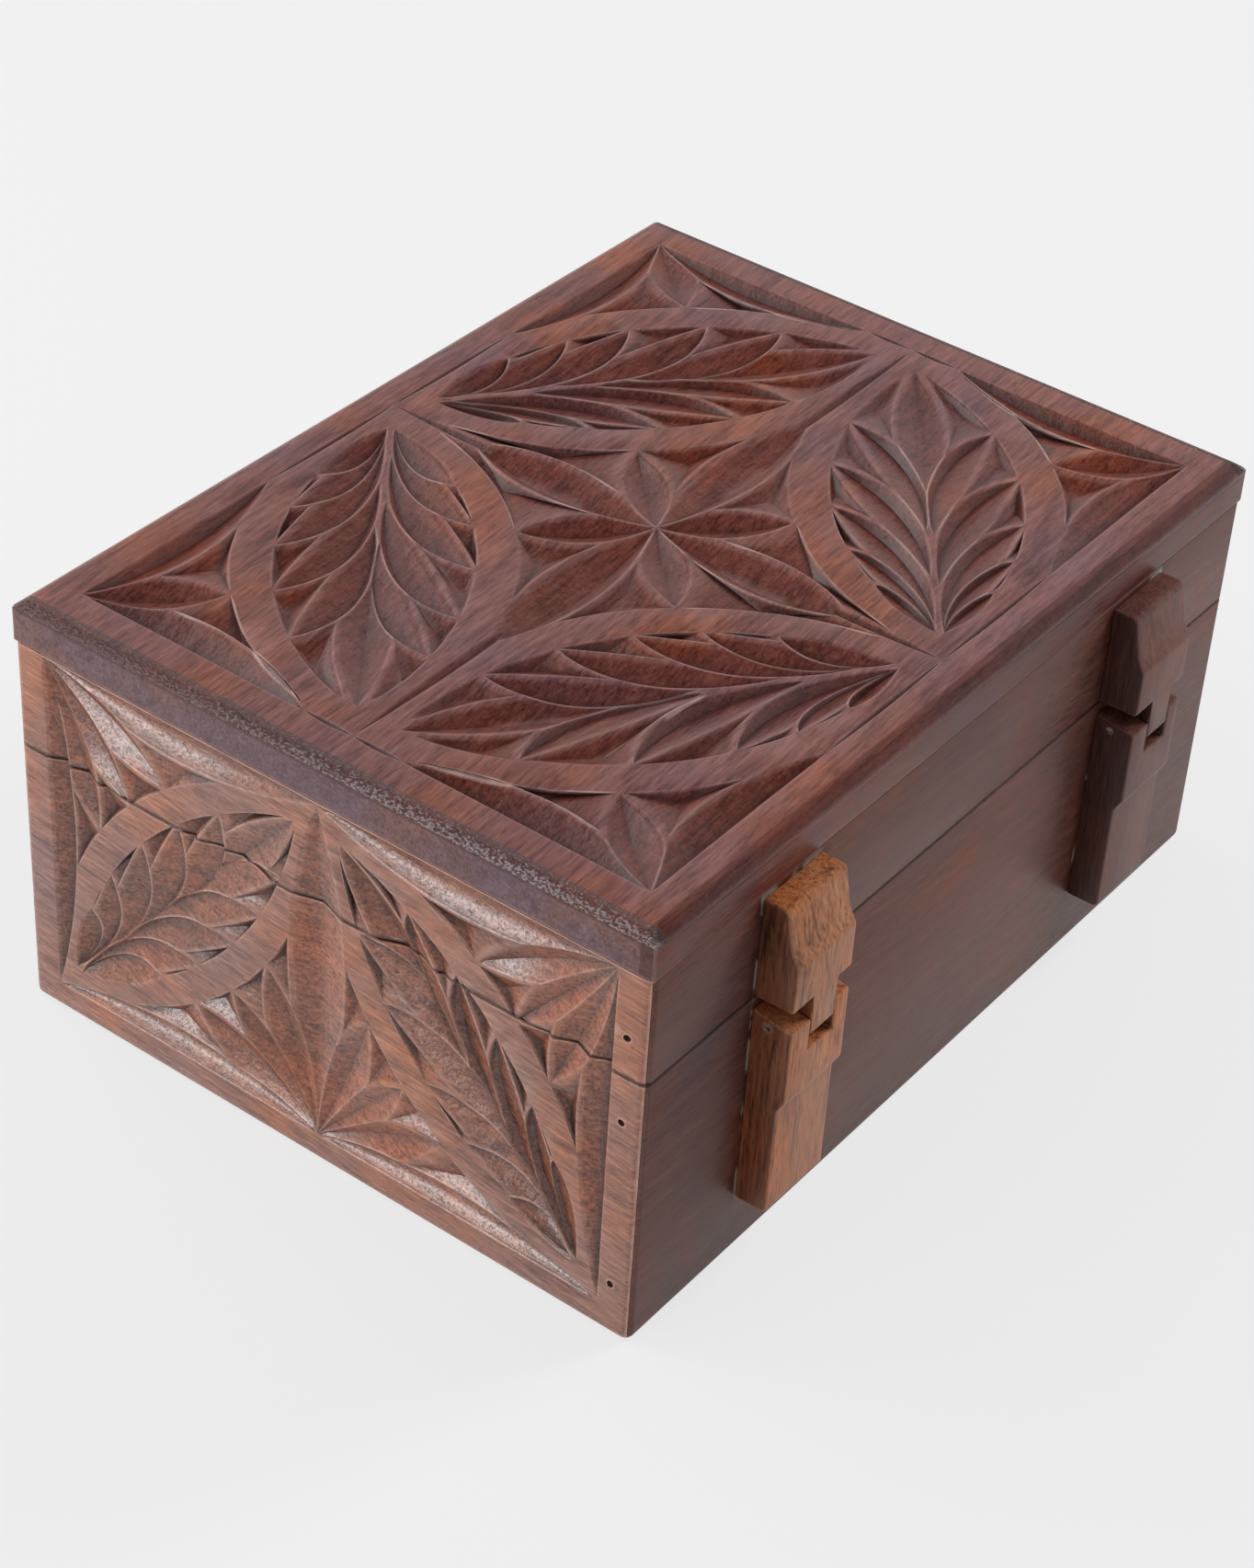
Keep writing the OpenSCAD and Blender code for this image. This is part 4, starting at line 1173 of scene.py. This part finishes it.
BODIES = {"body": "box", "lid": "lid"}
for name, low, high in (("body", 0.0, wall_top), ("lid", lid_low, lid_high)):
    board = end_board(low, high)
    for side, half in (("left", mirrored(board)), ("right", board)):
        node = f"{name}_end_{side}"
        piece(node + "_carved", half, BODIES[name], "carved_end", [node])

# %% [markdown]
# ## The plain boards and the hinges
# The front, the back, the bottom and the hinge leaves already have their true shape in the packed
# model, but a real edge is never knife sharp. Each is copied, its loose triangles are joined into
# whole faces, and its edges are bevelled. The bores of the hinge pins are left alone.

# %% Copies of the packed nodes with eased edges


def eased_copy(node, radius, segments=2, keep=lambda p: False):
    """A copy of a node in millimetres, with its sharp edges rounded apart from those to keep."""
    bm = bmesh.new()
    bm.from_mesh(frame["nodes"][node].data)
    bmesh.ops.scale(bm, vec=(1 / MM,) * 3, verts=bm.verts)
    bmesh.ops.remove_doubles(bm, verts=bm.verts, dist=0.001)
    bmesh.ops.dissolve_limit(bm, angle_limit=math.radians(1), verts=bm.verts, edges=bm.edges)
    sharp = [e for e in bm.edges
             if e.is_manifold and e.calc_face_angle() > math.radians(25)
             and not any(keep(v.co) for v in e.verts)]
    bevel(bm, sharp, radius, segments, False)
    few_corners(bm)
    low, high = corners(node)
    for v in bm.verts:      # where short edges meet, a bevel may stand proud of the board
        v.co = [min(max(v.co[i], low[i]), high[i]) for i in range(3)]
    return bm


for side in ("front", "back"):
    for body in ("body", "lid"):
        node = f"{body}_{side}"
        board = eased_copy(node, 0.35)
        if body == "body":
            board = carved(board, worn_rim)
        piece(node + "_eased", board, BODIES[body], "plain_walnut", [node])
piece("bottom_panel_eased", eased_copy("bottom_panel", 0.3), "box", "inside_walnut",
      ["bottom_panel"])

# %% The hinge leaves
BORE_ROOM = 1.4        # what lies this near to a pin's middle belongs to its bore
pin_low, pin_high = corners("hinge_right_pin")
pin_y, pin_z = (pin_low.y + pin_high.y) / 2, (pin_low.z + pin_high.z) / 2


def at_bore(p):
    return math.hypot(p.y - pin_y, p.z - pin_z) < BORE_ROOM


for side in ("right", "left"):
    for leaf, body in (("upper", "lid"), ("lower", "box")):
        node = f"hinge_{side}_{leaf}"
        piece(node + "_eased", eased_copy(node, 0.55, 3, at_bore), body, "hinge_wood_" + side,
              [node])
print(f"hinge pin at Y {pin_y:.1f}, Z {pin_z:.1f}")

# %% [markdown]
# ## Nails and pins
# The nails and the hinge pins stay as they are. They only need their metal: dark iron for the
# nails and bright wire for the pins, both a little rusty.

# %% Metal on the packed nodes
RUST = (0.05, 0.022, 0.012)


def metal(name, color, roughness):
    material, recipe, shader = new_material(name)
    rust = recipe.one("Object", "ShaderNodeTexCoord").noise(900.0, 3, 0.6)
    rough = rust.ramp(0.3, 0.7, roughness, roughness + 0.3)
    recipe.feed(shader.inputs["Base Color"], recipe.mix(rust.ramp(0.45, 0.65), color, RUST))
    recipe.feed(shader.inputs["Roughness"], rough)
    shader.inputs["Metallic"].default_value = 1.0
    return material


nail_iron = metal("nail_iron", (0.06, 0.05, 0.045), 0.5)
pin_wire = metal("pin_wire", (0.45, 0.43, 0.4), 0.35)
for name, node in frame["nodes"].items():
    if name.endswith(("nails", "pin")):
        node.data.materials.clear()
        node.data.materials.append(nail_iron if name.endswith("nails") else pin_wire)
        print(name, "is", node.data.materials[0].name)

# %% [markdown]
# ## Light
# The photograph was taken in a bright tent with a dark ceiling: the flat bands mirror a pale wall
# behind the box, the slopes of the hollows mirror the sides, and what faces the camera mirrors
# nothing bright. So the world is pale near the horizon and dark overhead. Only the camera and the
# mirrored rays see it like that. The light that it gives is an even grey, under four soft lamps.

# %% The tent
PALE = (0.887, 0.887, 0.887)
CEILING, SHADE = (0.05, 0.05, 0.055), (0.31, 0.31, 0.32)
world = bpy.data.worlds.new("studio")
scene.world = world
world.use_nodes = True
recipe = Recipe(world.node_tree)
sky = world.node_tree.nodes["Background"]
up = recipe.one("Generated", "ShaderNodeTexCoord").axes()["Z"]
tent_walls = recipe.mix(up.ramp(0.56, 0.76), PALE, CEILING)


def background_share(recipe):
    """One for a ray from the camera, or one that metal or glass sends on."""
    path = recipe.all("ShaderNodeLightPath")
    seen = recipe.math("MAXIMUM", path["Is Camera Ray"], path["Is Glossy Ray"])
    return recipe.math("MAXIMUM", seen, path["Is Transmission Ray"])


recipe.feed(sky.inputs["Color"], recipe.mix(background_share(recipe), SHADE, tent_walls))
sky.inputs["Strength"].default_value = 1.0
print("world:", world.name)

# %% Lamps
LAMP_DISTANCE = 1.3


def softbox(name, azimuth, elevation, width, height, power, mirrored=True):
    """A soft lamp that looks at the box. The azimuth runs from +X towards +Y."""
    lamp = bpy.data.lights.new(name, "AREA")
    lamp.energy, lamp.shape = power, "RECTANGLE"
    lamp.size, lamp.size_y = width, height
    made = bpy.data.objects.new(name, lamp)
    scene.collection.objects.link(made)
    a, e = math.radians(azimuth), math.radians(elevation)
    way = Vector((math.cos(a) * math.cos(e), math.sin(a) * math.cos(e), math.sin(e)))
    made.location = way * LAMP_DISTANCE
    aim = Vector((0, 0, 0.05)) - made.location
    made.rotation_euler = aim.to_track_quat("-Z", "Y").to_euler()
    made.visible_glossy = mirrored


softbox("left_side", -75, 38, 1.1, 1.1, 9)
softbox("left_near", -20, 10, 0.8, 0.24, 7.5)
softbox("left_low", -66, 10, 0.3, 0.3, 4.5, mirrored=False)
softbox("right_side", 150, 42, 0.38, 0.38, 8, mirrored=False)
print("lamps:", [lamp.name for lamp in bpy.data.lights])

# %% [markdown]
# The floor is a big sheet of paper that takes the box's soft shadow. A glow that lights nothing
# brings it up to the background's tone, so that no horizon shows.

# %% Floor
floor_material, recipe, paper = new_material("floor")
recipe.feed(paper.inputs["Base Color"], (0.8, 0.8, 0.8))
paper.inputs["Roughness"].default_value = 0.9
glow = recipe.one(0, "ShaderNodeEmission", {"Color": PALE, "Strength": 1.0})
surfaces = {0: background_share(recipe) * 0.82, 1: Value(recipe, paper.outputs[0]), 2: glow}
output = floor_material.node_tree.nodes["Material Output"]
recipe.feed(output.inputs["Surface"], recipe.one(0, "ShaderNodeMixShader", surfaces))
sheet = bmesh.new()
bmesh.ops.create_grid(sheet, x_segments=1, y_segments=1, size=3)
floor = as_object("floor", sheet, scene.collection)
floor.data.materials.append(floor_material)
floor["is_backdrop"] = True
scene.view_settings.view_transform = "Standard"
print("floor:", tuple(round(side, 2) for side in floor.dimensions))

# %% [markdown] ## Sizes, and the end The cutting solids have done their work, so they go.

# %% Clear the cutters, give the sizes and finish
for cuts in (top_panel.cuts, end_panel.cuts, holes, rounded_box, worn_rim):
    for cutter in list(cuts.objects):
        bpy.data.objects.remove(cutter)
    bpy.data.collections.remove(cuts)

low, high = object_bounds()
{"cad": [list(cad_low), list(cad_high)], "visual": [list(low), list(high)]}
